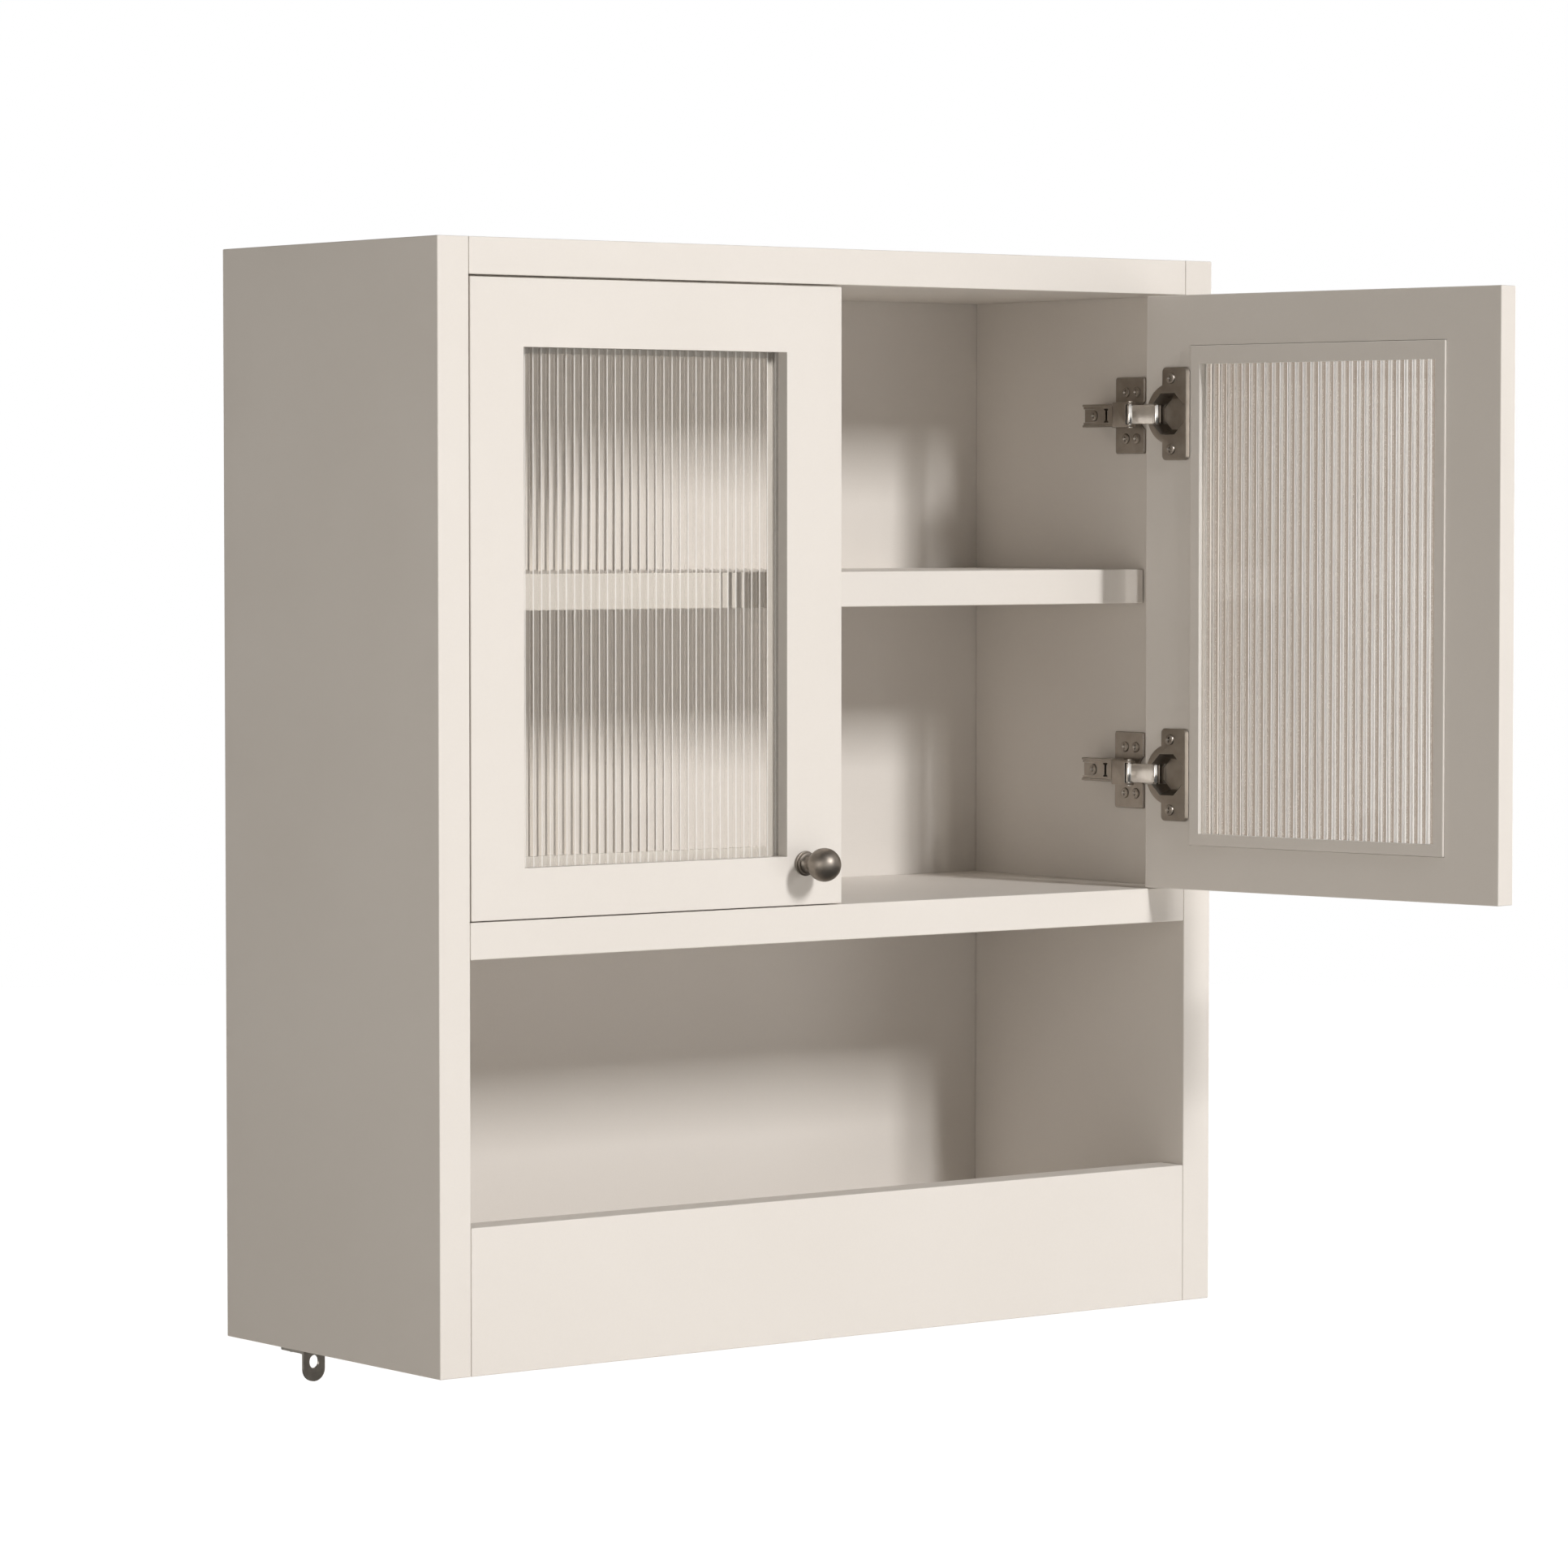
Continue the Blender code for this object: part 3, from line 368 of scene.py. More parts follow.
def paint_group(edge_tree):
    """Sprayed satin paint: soft clouds of tone, fine orange peel and lighter edges that are partly worn paint and
    partly a painted edge highlight.
    """
    inputs = [("Paint", COLOUR, (0.8, 0.8, 0.8, 1)), ("Shade", COLOUR, (0.7, 0.7, 0.7, 1))]
    inputs += [("Worn Highlight", COLOUR, (0.9, 0.9, 0.9, 1)), ("Gloss", FLOAT, 0.4), ("Worn Highlight Share", FLOAT, 0.5)]
    outputs = [("Colour", COLOUR), ("Roughness", FLOAT), ("Height", FLOAT)]
    tree, given, out = new_group("sprayed_paint", inputs, outputs)
    place = object_place(tree)
    cloud = ranged(tree, noise(tree, place, 5.0, 4.0), 0.35, 0.70)
    fleck = ranged(tree, noise(tree, place, 900.0, 1.0), 0.40, 0.75)
    soft, fine = maths(tree, "MULTIPLY", cloud, 0.55), maths(tree, "MULTIPLY", fleck, 0.22)
    shade = maths(tree, "ADD", soft, fine)
    colour = blended(tree, shade, given["Paint"], given["Shade"])
    # Lighter edge colour: partly worn paint, partly a painted edge highlight.
    edge_wear_highlight = add_node(tree, "ShaderNodeGroup", {}, node_tree=edge_tree)
    edge_wear_highlight.inputs["Width"].default_value = 0.0012
    tree.links.new(given["Worn Highlight Share"], edge_wear_highlight.inputs["Strength"])
    broken = ranged(tree, noise(tree, place, 60.0, 3.0), 0.35, 0.60)
    mask = maths(tree, "MULTIPLY", edge_wear_highlight.outputs["Mask"], broken)
    tree.links.new(blended(tree, mask, colour, given["Worn Highlight"]), out["Colour"])
    wander = ranged(tree, noise(tree, place, 14.0, 3.0), 0.3, 0.7, -0.05, 0.05)
    tree.links.new(maths(tree, "ADD", given["Gloss"], wander), out["Roughness"])
    peel = noise(tree, place, 420.0, 2.0)
    roller = noise(tree, place, 70.0, 2.0)
    tree.links.new(maths(tree, "ADD", maths(tree, "MULTIPLY", peel, 0.5), roller), out["Height"])
    return tree


def metal_group(edge_tree):
    """Plated or brushed metal: drawn lines, dull clouds and bright edges that are partly worn plating and partly a
    painted edge highlight.
    """
    inputs = [("Metal", COLOUR, (0.6, 0.6, 0.6, 1)), ("Dull", COLOUR, (0.4, 0.4, 0.4, 1))]
    inputs += [("Worn Highlight", COLOUR, (0.9, 0.9, 0.9, 1)), ("Gloss", FLOAT, 0.3), ("Lines", FLOAT, 0.1)]
    outputs = [("Colour", COLOUR), ("Roughness", FLOAT), ("Height", FLOAT)]
    tree, given, out = new_group("plated_metal", inputs, outputs)
    cloud = ranged(tree, noise(tree, object_place(tree), 160.0, 4.0), 0.35, 0.68)
    lines = noise(tree, object_place(tree, (1, 1, 14)), 700.0, 2.0)
    colour = blended(tree, cloud, given["Metal"], given["Dull"])
    # Bright edge colour: partly worn plating, partly a painted edge highlight.
    edge_wear_highlight = add_node(tree, "ShaderNodeGroup", {}, node_tree=edge_tree)
    edge_wear_highlight.inputs["Width"].default_value = 0.0004
    edge_wear_highlight.inputs["Strength"].default_value = 0.7
    tree.links.new(blended(tree, edge_wear_highlight.outputs["Mask"], colour, given["Worn Highlight"]), out["Colour"])
    streak = maths(tree, "MULTIPLY", ranged(tree, lines, 0.3, 0.7, -1.0, 1.0), given["Lines"])
    tree.links.new(maths(tree, "ADD", given["Gloss"], streak), out["Roughness"])
    tree.links.new(lines, out["Height"])
    return tree


def glass_group():
    """Rolled glass: a trace of tone and fine streaks drawn along the ribs."""
    inputs = [("Clear", COLOUR, (1, 1, 1, 1)), ("Tone", COLOUR, (0.9, 0.9, 0.9, 1))]
    inputs += [("Gloss", FLOAT, 0.02)]
    outputs = [("Colour", COLOUR), ("Roughness", FLOAT), ("Height", FLOAT)]
    tree, given, out = new_group("rolled_glass", inputs, outputs)
    streaks = noise(tree, object_place(tree, (1, 1, 0.012)), 900.0, 3.0)
    share = ranged(tree, noise(tree, object_place(tree), 9.0, 3.0), 0.3, 0.7)
    tree.links.new(blended(tree, share, given["Clear"], given["Tone"]), out["Colour"])
    dulled = ranged(tree, streaks, 0.45, 0.8, 0.0, 0.015)
    tree.links.new(maths(tree, "ADD", given["Gloss"], dulled), out["Roughness"])
    tree.links.new(streaks, out["Height"])
    return tree


def board_group():
    """Bare board: pressed fibres with pale and dark flecks."""
    inputs = [("Fibre", COLOUR, (0.6, 0.5, 0.4, 1)), ("Dark", COLOUR, (0.4, 0.3, 0.2, 1))]
    outputs = [("Colour", COLOUR), ("Roughness", FLOAT), ("Height", FLOAT)]
    tree, given, out = new_group("pressed_board", inputs, outputs)
    fibres = noise(tree, object_place(tree, (0.12, 1, 1)), 520.0, 4.0, 0.7)
    share = ranged(tree, fibres, 0.35, 0.72)
    tree.links.new(blended(tree, share, given["Fibre"], given["Dark"]), out["Colour"])
    tree.links.new(ranged(tree, fibres, 0.3, 0.8, 0.60, 0.78), out["Roughness"])
    tree.links.new(fibres, out["Height"])
    return tree


def finish(name, group, values, bump, distance, metallic=0.0):
    """Material of one Principled shader fed by a shared group."""
    made = bpy.data.materials.new(name)
    made.use_nodes = True
    tree = made.node_tree
    shader = tree.nodes["Principled BSDF"]
    surface = add_node(tree, "ShaderNodeGroup", {}, node_tree=group)
    for socket, value in values.items():
        surface.inputs[socket].default_value = value
    tree.links.new(surface.outputs["Colour"], shader.inputs["Base Color"])
    tree.links.new(surface.outputs["Roughness"], shader.inputs["Roughness"])
    grain = add_node(tree, "ShaderNodeBump", {"Height": surface.outputs["Height"], "Strength": bump})
    grain.inputs["Distance"].default_value = distance
    tree.links.new(grain.outputs["Normal"], shader.inputs["Normal"])
    shader.inputs["Metallic"].default_value = metallic
    return made, shader


edge_tree = edge_group()
paint_tree = paint_group(edge_tree)
metal_tree = metal_group(edge_tree)
glass_tree = glass_group()
board_tree = board_group()


def paint(name, colour, shade, worn_highlight):
    values = {"Paint": (*colour, 1), "Shade": (*shade, 1), "Worn Highlight": (*worn_highlight, 1)}
    values.update({"Gloss": 0.46, "Worn Highlight Share": 0.35})
    made, shader = finish(name, paint_tree, values, 0.06, 0.0004)
    shader.inputs["Specular IOR Level"].default_value = 0.35
    return made


def metal(name, colour, dull, worn_highlight, gloss, lines):
    values = {"Metal": (*colour, 1), "Dull": (*dull, 1), "Worn Highlight": (*worn_highlight, 1)}
    values.update({"Gloss": gloss, "Lines": lines})
    return finish(name, metal_tree, values, 0.08, 0.00005, 1.0)[0]


GLASS_SHADOW = (1.0, 0.99, 0.97)
GLASS_IOR = 1.5
BOUNCE_PASSED = 0.5


def glass(name, clear, tone, gloss, clearness):
    """Glass that lets the lamps, and a share of the bounced light, shine through it."""
    values = {"Clear": (*clear, 1), "Tone": (*tone, 1), "Gloss": gloss}
    made, shader = finish(name, glass_tree, values, 0.05, 0.0001)
    shader.inputs["Transmission Weight"].default_value = clearness
    shader.inputs["IOR"].default_value = GLASS_IOR
    tree = made.node_tree
    path = tree.nodes.new("ShaderNodeLightPath")
    through = add_node(tree, "ShaderNodeBsdfTransparent", {"Color": (*GLASS_SHADOW, 1)})
    bounced = maths(tree, "MULTIPLY", path.outputs["Is Diffuse Ray"], BOUNCE_PASSED)
    passed = maths(tree, "MAXIMUM", path.outputs["Is Shadow Ray"], bounced)
    mix = add_node(tree, "ShaderNodeMixShader", {0: passed})
    tree.links.new(shader.outputs[0], mix.inputs[1])
    tree.links.new(through.outputs[0], mix.inputs[2])
    tree.links.new(mix.outputs[0], tree.nodes["Material Output"].inputs["Surface"])
    return made


# Edge colours, partly worn finish and partly a painted edge highlight
WORN_HIGHLIGHT_BRIGHT = (0.85, 0.82, 0.78)
WORN_HIGHLIGHT_CHROME = (0.95, 0.94, 0.92)
WORN_HIGHLIGHT_PEWTER = (0.50, 0.46, 0.42)
cream = paint("cream_satin", (0.775, 0.735, 0.690), (0.745, 0.702, 0.652), (0.83, 0.80, 0.76))
pane_glass = glass("ribbed_clear_glass", (1.0, 0.990, 0.972), (0.982, 0.968, 0.945), 0.01, 1.0)
# Frosted strips along the ribs' valleys and crests: painted highlight lines in place of the ribs' reflections of
# the lamps
painted_highlight_line = glass("frosted_painted_highlight_line", (1.0, 0.975, 0.94), (0.95, 0.92, 0.885), 0.55, 0.42)
painted_highlight_crest = glass("frosted_painted_highlight_crest", (0.98, 0.95, 0.91), (0.88, 0.845, 0.80), 0.12, 0.86)
nickel = metal("dark_nickel_plate", (0.34, 0.302, 0.262), (0.29, 0.257, 0.224), WORN_HIGHLIGHT_BRIGHT, 0.36, 0.05)
chrome = metal("bright_link_plate", (0.86, 0.84, 0.81), (0.76, 0.74, 0.71), WORN_HIGHLIGHT_CHROME, 0.16, 0.04)
pewter = metal("pewter_knob", (0.34, 0.302, 0.263), (0.27, 0.239, 0.207), WORN_HIGHLIGHT_PEWTER, 0.47, 0.04)
zinc = metal("zinc_plate", (0.66, 0.62, 0.56), (0.52, 0.48, 0.43), WORN_HIGHLIGHT_BRIGHT, 0.36, 0.08)
rail_values = {"Fibre": (0.62, 0.54, 0.44, 1), "Dark": (0.47, 0.39, 0.30, 1)}
rail = finish("bare_board", board_tree, rail_values, 0.25, 0.0003)[0]
NODE_FINISH = {
    "cream_paint": cream,
    "rail_board": rail,
    "ribbed_glass": pane_glass,
    "pewter": pewter,
    "dark_nickel": nickel,
    "bright_link": chrome,
    "zinc_steel": zinc,
}
for entry in frame["record"]["subparts"]:
    node_mesh = frame["nodes"][entry["node"]].data
    node_mesh.materials.clear()
    node_mesh.materials.append(NODE_FINISH[entry["material_slot"]])


# Glass
def ribbed_pane():
    """Pane with round ribs outside, frosted strips along valleys and crests that are painted highlight lines in
    place of the ribs' reflections, and flat side margins.
    """
    low, high = CLOSED_GLASS
    left, right = -high.x, -low.x
    back = high.y
    valley = low.y + RIB_RISE
    count = int((right - left - 2 * GLASS_EDGE_FLAT) / RIB_PITCH)
    start = (left + right - count * RIB_PITCH) / 2
    outline = [(right, back), (left, back), (left, valley)]
    for rib in range(count):
        middle = start + (rib + 0.5) * RIB_PITCH
        for step in range(RIB_STEPS + 1):
            along = RIB_HALF * (2 * step / RIB_STEPS - 1)
            crown = math.sqrt(RIB_RADIUS ** 2 - along ** 2) - RIB_RADIUS + RIB_RISE
            outline.append((middle + along, valley - crown))
    outline.append((right, valley))
    bm = prism(outline, low.z, high.z)
    # Faces on the valleys and crests take the frosted strips that paint the ribs' highlight lines
    by_valley, by_crest = FIT / 10, RIB_RISE / 40
    for face in bm.faces:
        depth = face.calc_center_median().y
        if abs(depth - valley) < by_valley:
            face.material_index = HIGHLIGHT_LINE_SLOT
        elif depth - low.y < by_crest:
            face.material_index = HIGHLIGHT_CREST_SLOT
    return bm


def turned_knob():
    """Ball on a drawn-in neck with a two-step rose."""
    stud, stud_depth, rose, ball_foot = 0.0017, 0.002, 0.0074, 0.0044
    profile = [(0, -stud_depth), (stud, -stud_depth), (stud, FIT), (rose, FIT)]
    profile += arc((0.0072, 0.0015), 0.0005, -20, 90, 4)
    profile += [(0.00665, 0.0020)]
    profile += arc((0.0062, 0.0032), 0.0004, 0, 90, 3)
    profile += [(0.0052, 0.0037), (0.0044, 0.0045), (0.0040, 0.0058)]
    profile += [(0.0039, 0.0074), (0.0041, 0.0088)]
    start = math.degrees(math.asin(ball_foot / KNOB_BALL_RADIUS)) - 90
    ball = arc((0, KNOB_BALL_REACH), KNOB_BALL_RADIUS, start, 90, 28)
    profile += ball[:-1] + [(0, KNOB_BALL_REACH + KNOB_BALL_RADIUS)]
    return turned(profile, 56)


# Concealed hinges, drawn at height 0 on the closed right-hand side
def cross_head(thickness):
    """Pan head with a tapered cross recess, sitting on z = 0."""
    radius = HEAD_RADIUS
    profile = [(0, 0), (radius, 0), (radius, thickness * 0.45)]
    profile += [(radius * 0.93, thickness * 0.75), (radius * 0.72, thickness * 0.94), (0, thickness)]
    head = turned(profile, 28)
    rings = []
    for height, reach, half in ((thickness * 0.25, 0.30, 0.10), (thickness * 1.1, 0.62, 0.155)):
        a, b = radius * reach, radius * half
        cross = [(a, -b), (a, b), (b, b), (b, a), (-b, a), (-b, b)]
        cross += [(-x, -y) for x, y in cross]
        rings.append([(x, y, height) for x, y in cross])
    return carved(head, ("DIFFERENCE", loft(rings)))


def flange_ring(inset, far_inset):
    """Outline of the cup's flange, drawn in all round and further at its far edge."""
    near = FLANGE_NEAR + inset
    far = FLANGE_FAR - far_inset
    half = FLANGE_HALF - inset
    corner = FLANGE_CORNER - inset * 0.6
    radius = RIM_RADIUS - inset
    spread = math.degrees(math.acos((RIM_CENTRE - near) / radius))
    ring = arc((far - corner, -half + corner), corner, -90, 0, 6)
    ring += arc((far - corner, half - corner), corner, 0, 90, 6)
    ring += arc((near + corner, half - corner), corner, 90, 180, 6)
    ring += arc((RIM_CENTRE, 0), radius, 180 - spread, 180 + spread, 24)
    ring += arc((near + corner, -half + corner), corner, 180, 270, 6)
    return ring


def octagon(apothem):
    """Eight-sided outline round the cup's centre."""
    return arc((CUP_CENTRE, 0), apothem / math.cos(math.pi / 8), 22.5, 382.5, 8)[:-1]


def on_door(ring, rise):
    """Ring of (inset, height) points laid on the closed right door."""
    return [door_point(inset, height, rise) for inset, height in ring]


def by_panel(ring, off):
    """Ring of (back, height) points held off the right side panel."""
    return [panel_point(off, back, height) for back, height in ring]


def hinge_cup():
    """Flange with sloped edges over a round well, with an eight-sided pocket and the link's notch."""
    levels = [(FIT, 0.0, 0.0), (FIT + 0.0004, 0.0, 0.0)]
    levels += [(FLANGE_TOP - 0.0001, 0.0007, 0.0019), (FLANGE_TOP, 0.0010, 0.0023)]
    flange = loft([on_door(flange_ring(inset, far), rise) for rise, inset, far in levels])
    circle = arc((CUP_CENTRE, 0), CUP_RADIUS, 0, 360, 48)[:-1]
    well = loft([on_door(circle, rise) for rise in (-CUP_DEPTH, FIT + 0.0006)])
    steps = [(-0.008, 0.0096), (FLANGE_TOP - 0.0014, 0.0122), (FLANGE_TOP + 0.0004, 0.0136)]
    pocket = loft([on_door(octagon(apothem), rise) for rise, apothem in steps])
    notch_low = door_point(CUP_CENTRE, -FORK_HALF, -NOTCH_DEPTH)
    notch = box(notch_low, door_point(-PAST, FORK_HALF, 2 * PAST))
    pin = facing(rod(PIN_RADIUS, CUP_PIN_HALF), (0, 0, 1), (CUP_PIN.x, CUP_PIN.y, 0))
    return carved(flange, ("UNION", well), ("DIFFERENCE", pocket), ("DIFFERENCE", notch), ("UNION", pin))


def hinge_link():
    """Flat strap rolled round a pin at each end."""
    along = CUP_PIN - ARM_PIN
    heading = math.degrees(math.atan2(along.y, along.x))
    spread = math.degrees(math.asin(LINK_STRAP / 2 / LINK_EYE))
    outline = arc(ARM_PIN, LINK_EYE, heading + spread, heading + 360 - spread, 28)
    outline += arc(CUP_PIN, LINK_EYE, heading - 180 + spread, heading + 180 - spread, 28)
    strap = softened(prism(outline, -LINK_HALF, LINK_HALF), LINK_ROUND, 40)
    bores = []
    for pin in (ARM_PIN, CUP_PIN):
        reach = LINK_HALF + PAST
        bores.append(facing(rod(PIN_RADIUS + FIT, reach), (0, 0, 1), (pin.x, pin.y, 0)))
    return carved(strap, ("DIFFERENCE", merged(*bores)))


def hinge_arm():
    """Channel with raised lips, a screw slot and an I-shaped slot, under a cranked cover with a fork."""
    web = 0.0140
    slot_half = 0.0043
    half_section = [(ARM_HALF, ARM_FOOT), (ARM_HALF, ARM_TOP - 0.0004), (ARM_HALF - 0.0004, ARM_TOP)]
    half_section += [(ARM_HALF - 0.0012, ARM_TOP), (ARM_HALF - 0.0016, web)]
    section = half_section + [(-height, off) for height, off in reversed(half_section)]
    ends = (COVER_REAR - PAST, ARM_REAR)
    channel = loft([[panel_point(off, back, height) for height, off in section] for back in ends])
    slot = arc((ARM_SCREW_BACK, 0), slot_half, 90, 270, 14)
    slot += [(ARM_REAR + 2 * PAST, -slot_half), (ARM_REAR + 2 * PAST, slot_half)]
    screw_slot = loft([by_panel(slot, off) for off in (web - 0.0011, ARM_TOP + PAST)])
    stem, serif, reach, lip = 0.0010, 0.0022, 0.0046, 0.0033
    letter = [(stem, -lip), (serif, -lip), (serif, -reach)]
    letter += [(-serif, -reach), (-serif, -lip), (-stem, -lip)]
    letter += [(-back, -height) for back, height in letter]
    letter = [(ARM_SLOT_BACK + back, height) for back, height in letter]
    key_slot = loft([by_panel(letter, off) for off in (ARM_FOOT + 0.0004, ARM_TOP + PAST)])
    channel = carved(channel, ("DIFFERENCE", screw_slot), ("DIFFERENCE", key_slot))
    eye_off = INNER - ARM_PIN.x
    eye_back = ARM_PIN.y - FRONT
    profile = [(ARM_FOOT, COVER_REAR), (ARM_TOP + 0.0003, COVER_REAR), (eye_off + ARM_EYE, COVER_CREST)]
    profile += arc((eye_off, eye_back), ARM_EYE, 0, -180, 18)
    profile += [(eye_off - ARM_EYE, COVER_CREST - 0.005), (ARM_FOOT, COVER_REAR - 0.006)]
    cover = prism([panel_point(off, back, 0)[:2] for off, back in profile], -COVER_HALF, COVER_HALF)
    softened(cover, EDGE_ROUND)
    room = arc((eye_off, eye_back), LINK_ROOM, 180, 0, 14)
    front = eye_back - ARM_EYE - PAST
    inner = eye_off - LINK_ROOM - PAST
    room += [(eye_off + LINK_ROOM, front), (inner, front), (inner, eye_back + LINK_STRAP)]
    fork = prism([panel_point(off, back, 0)[:2] for off, back in room], -FORK_HALF, FORK_HALF)
    return merged(channel, carved(cover, ("DIFFERENCE", fork)))


def arm_pin():
    """Riveted pin through the fork's two cheeks."""
    reach = COVER_HALF + 0.0007
    rivet, rivet_top, slope, neck = 0.0016, 0.0011, 0.0004, 0.0002
    profile = [(0, -reach), (rivet_top, -reach), (rivet, -reach + slope), (rivet, -COVER_HALF)]
    profile += [(PIN_RADIUS, -COVER_HALF + neck), (PIN_RADIUS, COVER_HALF - neck)]
    profile += [(rivet, COVER_HALF), (rivet, reach - slope), (rivet_top, reach), (0, reach)]
    return facing(turned(profile, 24), (0, 0, 1), (ARM_PIN.x, ARM_PIN.y, 0))


def hinge_plate():
    """Winged plate with a round bite in its front edge and the saddle that carries the arm."""
    near, far = PLATE_NEAR, PLATE_NEAR + PLATE_WIDTH
    corner = 0.0012
    outline = arc((near + corner, PLATE_HALF - corner), corner, 180, 90, 4)
    outline += arc((far - corner, PLATE_HALF - corner), corner, 90, 0, 4)
    outline += arc((far - corner, -PLATE_HALF + corner), corner, 0, -90, 4)
    outline += arc((near + corner, -PLATE_HALF + corner), corner, -90, -180, 4)
    rings = []
    middle = (near + far) / 2
    top = FIT + PLATE_THICKNESS
    for off, shrink in ((FIT, 1.0), (top - 0.0006, 1.0), (top, 0.965)):
        lower = 1 + (shrink - 1) / 2
        ring = [(middle + (back - middle) * shrink, height * lower) for back, height in outline]
        rings.append(by_panel(ring, off))
    bite_circle = arc((near - BITE_AHEAD, 0), BITE_RADIUS, 0, 360, 32)[:-1]
    bite = loft([by_panel(bite_circle, off) for off in (-PAST / 2, PLATE_THICKNESS + PAST)])
    saddle_foot = panel_point(FIT, SADDLE_NEAR, -SADDLE_HALF)
    saddle = box(saddle_foot, panel_point(SADDLE_TOP, SADDLE_FAR, SADDLE_HALF))
    return merged(carved(loft(rings), ("DIFFERENCE", bite)), softened(saddle, EDGE_ROUND))


def hinges(side):
    """Both hinges of one door, each piece on the body that carries it."""
    pan, low_pan = cross_head(HEAD_THICKNESS), cross_head(LOW_HEAD_THICKNESS)
    cup, link, arm, pin, plate = hinge_cup(), hinge_link(), hinge_arm(), arm_pin(), hinge_plate()
    for level in LEVELS:
        hinge = f"{side}_{level}_hinge"
        high = HINGE_HEIGHT[level]
        door_body, link_body = f"{side}_door", f"{side}_links"
        dark, bright = (nickel, "dark_nickel"), (chrome, "bright_link")
        piece(f"{hinge}_pressed_cup", cup, *dark, door_body, side, high, [f"{hinge}_cup"])
        piece(f"{hinge}_bright_link", link, *bright, link_body, side, high, [f"{hinge}_link"])
        piece(f"{hinge}_channel_arm", arm, *dark, "carcass", side, high, [f"{hinge}_arm"])
        piece(f"{hinge}_arm_pin", pin, *bright, "carcass", side, high)
        piece(f"{hinge}_winged_plate", plate, *dark, "carcass", side, high, [f"{hinge}_plate"])
        for end, sign in (("top", 1), ("bottom", -1)):
            seat = door_point(CUP_SCREW_INSET, sign * CUP_SCREW_HALF, FLANGE_TOP - HEAD_SINK)
            head = facing(pan.copy(), (0, 1, 0), seat)
            name = f"{hinge}_cup_{end}_screw"
            piece(f"{name}_head", head, *dark, door_body, side, high, [name])
        seat = panel_point(ARM_SCREW_SEAT, ARM_SCREW_BACK, 0)
        head = facing(pan.copy(), (-1, 0, 0), seat)
        name = f"{hinge}_arm_screw"
        piece(f"{name}_head", head, *dark, "carcass", side, high, [name])
        for row, back in enumerate(PLATE_ROWS):
            for sign in (-1, 1):
                off = FIT + PLATE_THICKNESS - HEAD_SINK
                seat = panel_point(off, PLATE_NEAR + back, sign * PLATE_SCREW_HALF)
                head = facing(low_pan.copy(), (-1, 0, 0), seat)
                where = "top" if sign > 0 else "bottom"
                piece(f"{hinge}_plate_{where}_screw_{row + 1}", head, *dark, "carcass", side, high)


# Doors
pane = ribbed_pane()
knob_low, knob_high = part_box("left_knob")
knob_place = (-(knob_low.x + knob_high.x) / 2, DOOR_FRONT, (knob_low.z + knob_high.z) / 2)
knob = facing(turned_knob(), (0, -1, 0), knob_place)
for side in SIDES:
    door = f"{side}_door"
    glazing = {"replaces": [f"{side}_glass_pane"], "smooth": RIB_SMOOTH, "others": (painted_highlight_line, painted_highlight_crest)}
    piece(f"{side}_ribbed_pane", pane, pane_glass, "ribbed_glass", door, side, **glazing)
    piece(f"{side}_turned_knob", knob, pewter, "pewter", door, side, replaces=[f"{side}_knob"])
    hinges(side)


# Studio
FLOOR_LEVEL = -1.15
FLOOR_GLOW = 0.82
DOME = (1.0, 0.94, 0.86)
DOME_LEVEL = 0.175
DOME_BEHIND = 0.16
BEIGE_CARD = Vector((0.677, 0.736, 0.0))
SEEN_THROUGH = (0.365, 0.305, 0.257)
BESIDE_CARD = (1.0, 0.98, 0.955)
CARD_EDGE = (0.977, 0.984)
REFLECTED = (1.0, 0.975, 0.94)
PALE_BAND = (0.60, 0.20, 0.08, 1.0)
PALE_SIDE = (0.3, -0.3, 0.15, 1.0)
REFLECTED_FLOOR = 0.10
FLOOR_RADIUS = 9.0
FLOOR_PAINT = (0.86, 0.84, 0.81)


def seen_by(tree, path, shader, kinds):
    """Shader that shows another one to some kinds of ray; a later kind goes over an earlier one."""
    for ray, shown in kinds:
        values = {0: path.outputs[ray], 1: shader, 2: shown}
        shader = add_node(tree, "ShaderNodeMixShader", values).outputs[0]
    return shader


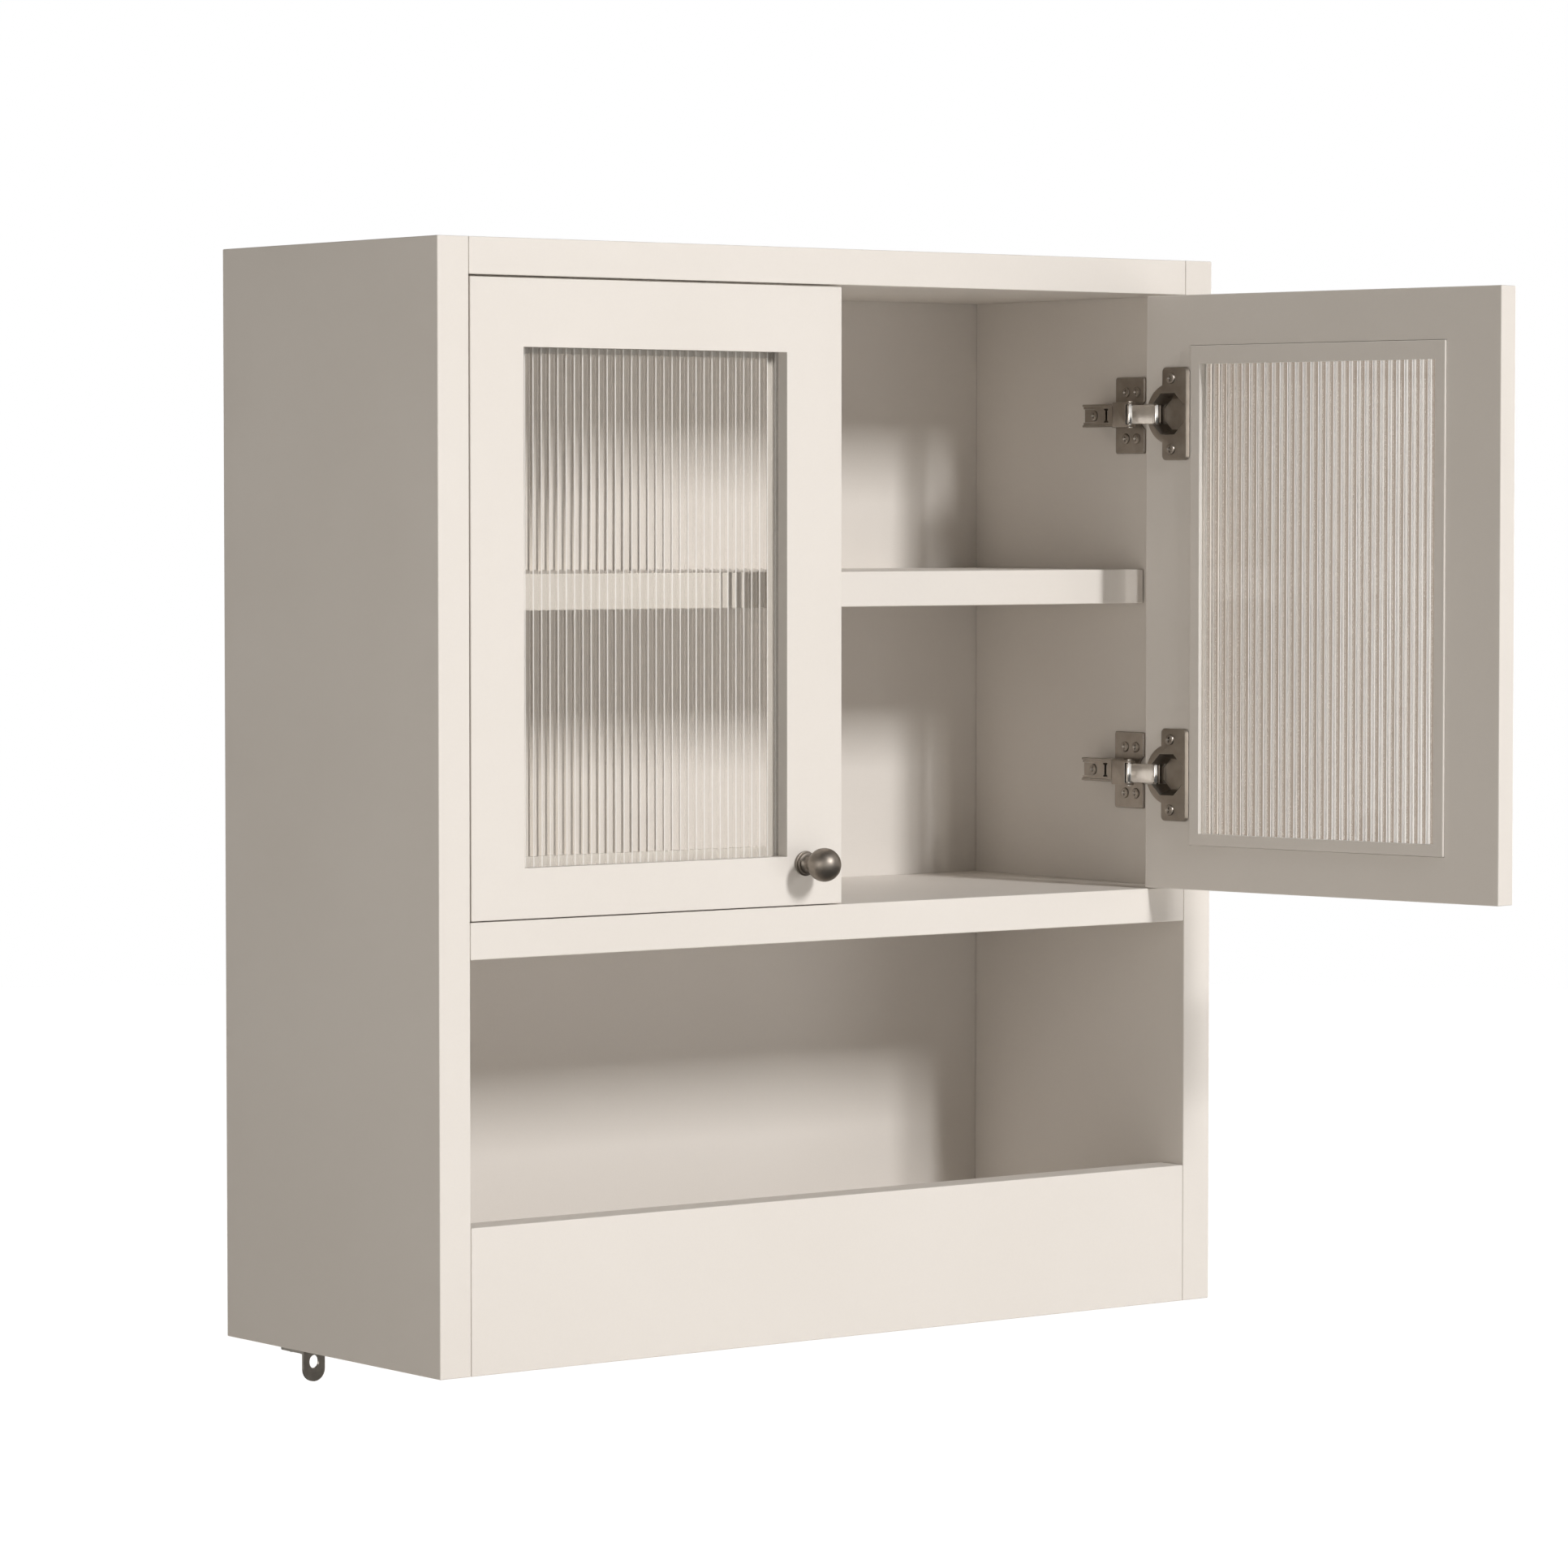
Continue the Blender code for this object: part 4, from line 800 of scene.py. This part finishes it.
def studio_world():
    """Warm dome: white to the camera, a pale band in reflections, a beige card behind the glass."""
    world = bpy.data.worlds.new("studio")
    bpy.context.scene.world = world
    world.use_nodes = True
    tree = world.node_tree
    way = tree.nodes.new("ShaderNodeTexCoord").outputs["Generated"]
    aim = aligned(tree, way, BEIGE_CARD)
    card = blended(tree, ranged(tree, aim, *CARD_EDGE), (*BESIDE_CARD, 1), (*SEEN_THROUGH, 1))
    path = tree.nodes.new("ShaderNodeLightPath")
    parts = add_node(tree, "ShaderNodeSeparateXYZ", {0: way}).outputs
    glow = ranged(tree, parts["Y"], 0.0, 1.0, DOME_LEVEL, DOME_LEVEL + DOME_BEHIND)
    light = add_node(tree, "ShaderNodeBackground", {"Color": (*DOME, 1), "Strength": glow}).outputs[0]
    white = add_node(tree, "ShaderNodeBackground", {"Color": (1, 1, 1, 1), "Strength": 1.0}).outputs[0]
    beige = add_node(tree, "ShaderNodeBackground", {"Color": card, "Strength": 1.0}).outputs[0]
    level = ranged(tree, maths(tree, "ABSOLUTE", parts["Z"]), *PALE_BAND)
    side = ranged(tree, parts["X"], *PALE_SIDE)
    shine = maths(tree, "MULTIPLY", level, side)
    pale = add_node(tree, "ShaderNodeBackground", {"Color": (*REFLECTED, 1), "Strength": shine}).outputs[0]
    kinds = (("Is Camera Ray", white), ("Is Glossy Ray", pale), ("Is Transmission Ray", beige))
    out = tree.nodes.get("World Output") or tree.nodes.new("ShaderNodeOutputWorld")
    tree.links.new(seen_by(tree, path, light, kinds), out.inputs["Surface"])


def pale_floor():
    """Wide pale floor: white to the camera, dim in reflections, not there through glass."""
    ring = arc((0, 0), FLOOR_RADIUS, 0, 360, 64)[:-1]
    bm = bmesh.new()
    bm.faces.new([bm.verts.new((x, y, FLOOR_LEVEL)) for x, y in ring])
    floor = bpy.data.objects.new("floor", mesh_from(bm, "floor"))
    bpy.context.scene.collection.objects.link(floor)
    made = bpy.data.materials.new("pale_floor")
    made.use_nodes = True
    tree = made.node_tree
    shader = tree.nodes["Principled BSDF"]
    shader.inputs["Base Color"].default_value = (*FLOOR_PAINT, 1)
    shader.inputs["Roughness"].default_value = 0.9
    path = tree.nodes.new("ShaderNodeLightPath")
    share = maths(tree, "MULTIPLY", path.outputs["Is Camera Ray"], FLOOR_GLOW)
    glow = add_node(tree, "ShaderNodeEmission", {"Strength": share})
    whole = add_node(tree, "ShaderNodeAddShader", {})
    tree.links.new(shader.outputs[0], whole.inputs[0])
    tree.links.new(glow.outputs[0], whole.inputs[1])
    faint = {"Color": (*REFLECTED, 1), "Strength": REFLECTED_FLOOR}
    dim = add_node(tree, "ShaderNodeEmission", faint).outputs[0]
    unseen = add_node(tree, "ShaderNodeBsdfTransparent", {}).outputs[0]
    kinds = (("Is Glossy Ray", dim), ("Is Transmission Ray", unseen))
    seen = seen_by(tree, path, whole.outputs[0], kinds)
    tree.links.new(seen, tree.nodes["Material Output"].inputs["Surface"])
    floor.data.materials.append(made)


def lamp(name, place, target, size, power, colour, mirrored=True):
    """Soft box that shines at a target; one that isn't mirrored shows in no metal or glass."""
    data = bpy.data.lights.new(name, "AREA")
    data.shape = "RECTANGLE"
    data.size, data.size_y = size
    data.energy = power
    data.color = colour
    obj = bpy.data.objects.new(name, data)
    obj.location = place
    obj.rotation_euler = (Vector(target) - Vector(place)).to_track_quat("-Z", "Y").to_euler()
    obj.visible_camera = False
    obj.visible_glossy = obj.visible_transmission = mirrored
    bpy.context.scene.collection.objects.link(obj)


studio_world()
pale_floor()
MIDDLE = Vector((0, -0.15, -0.30))
KEY_WAY = Vector((0.16, -1.0, 0.53)).normalized()
KEY_DISTANCE = 9.0
LEFT_FILL = MIDDLE + Vector((-1.50, -0.55, 0.02))
RIGHT_FILL = MIDDLE + Vector((2.75, -4.76, -0.05))
RIGHT_RIM = MIDDLE + Vector((2.4, 0.5, 0.3))
OPEN_DOOR = MIDDLE + Vector((0.30, -0.20, 0.12))
lamp("key", MIDDLE + KEY_WAY * KEY_DISTANCE, MIDDLE, (0.95, 1.77), 545.0, (1.0, 0.99, 0.985))
lamp("left_fill", LEFT_FILL, MIDDLE, (0.38, 0.55), 2.7, (1.0, 0.95, 0.885))
lamp("right_fill", RIGHT_FILL, MIDDLE, (1.8, 1.0), 28.0, (1.0, 0.985, 0.965), mirrored=False)
lamp("right_rim", RIGHT_RIM, OPEN_DOOR, (0.8, 1.2), 18.0, (1.0, 0.98, 0.96))
# The panes already pass the lamps' light, so caustics would light the shelf behind them twice
bpy.context.scene.cycles.caustics_refractive = False

# Camera
camera_data = bpy.data.cameras.new("photo_view")
camera_data.sensor_width = 36.0
camera_data.lens = 135.12
camera_data.clip_end = 60.0
camera = bpy.data.objects.new("photo_view", camera_data)
camera.location = (-2.2239, -3.0855, -0.1266)
camera.rotation_euler = (math.radians(87.364), 0.0, math.radians(-37.378))
bpy.context.scene.collection.objects.link(camera)
bpy.context.scene.camera = camera
bpy.context.scene.view_settings.view_transform = "Standard"
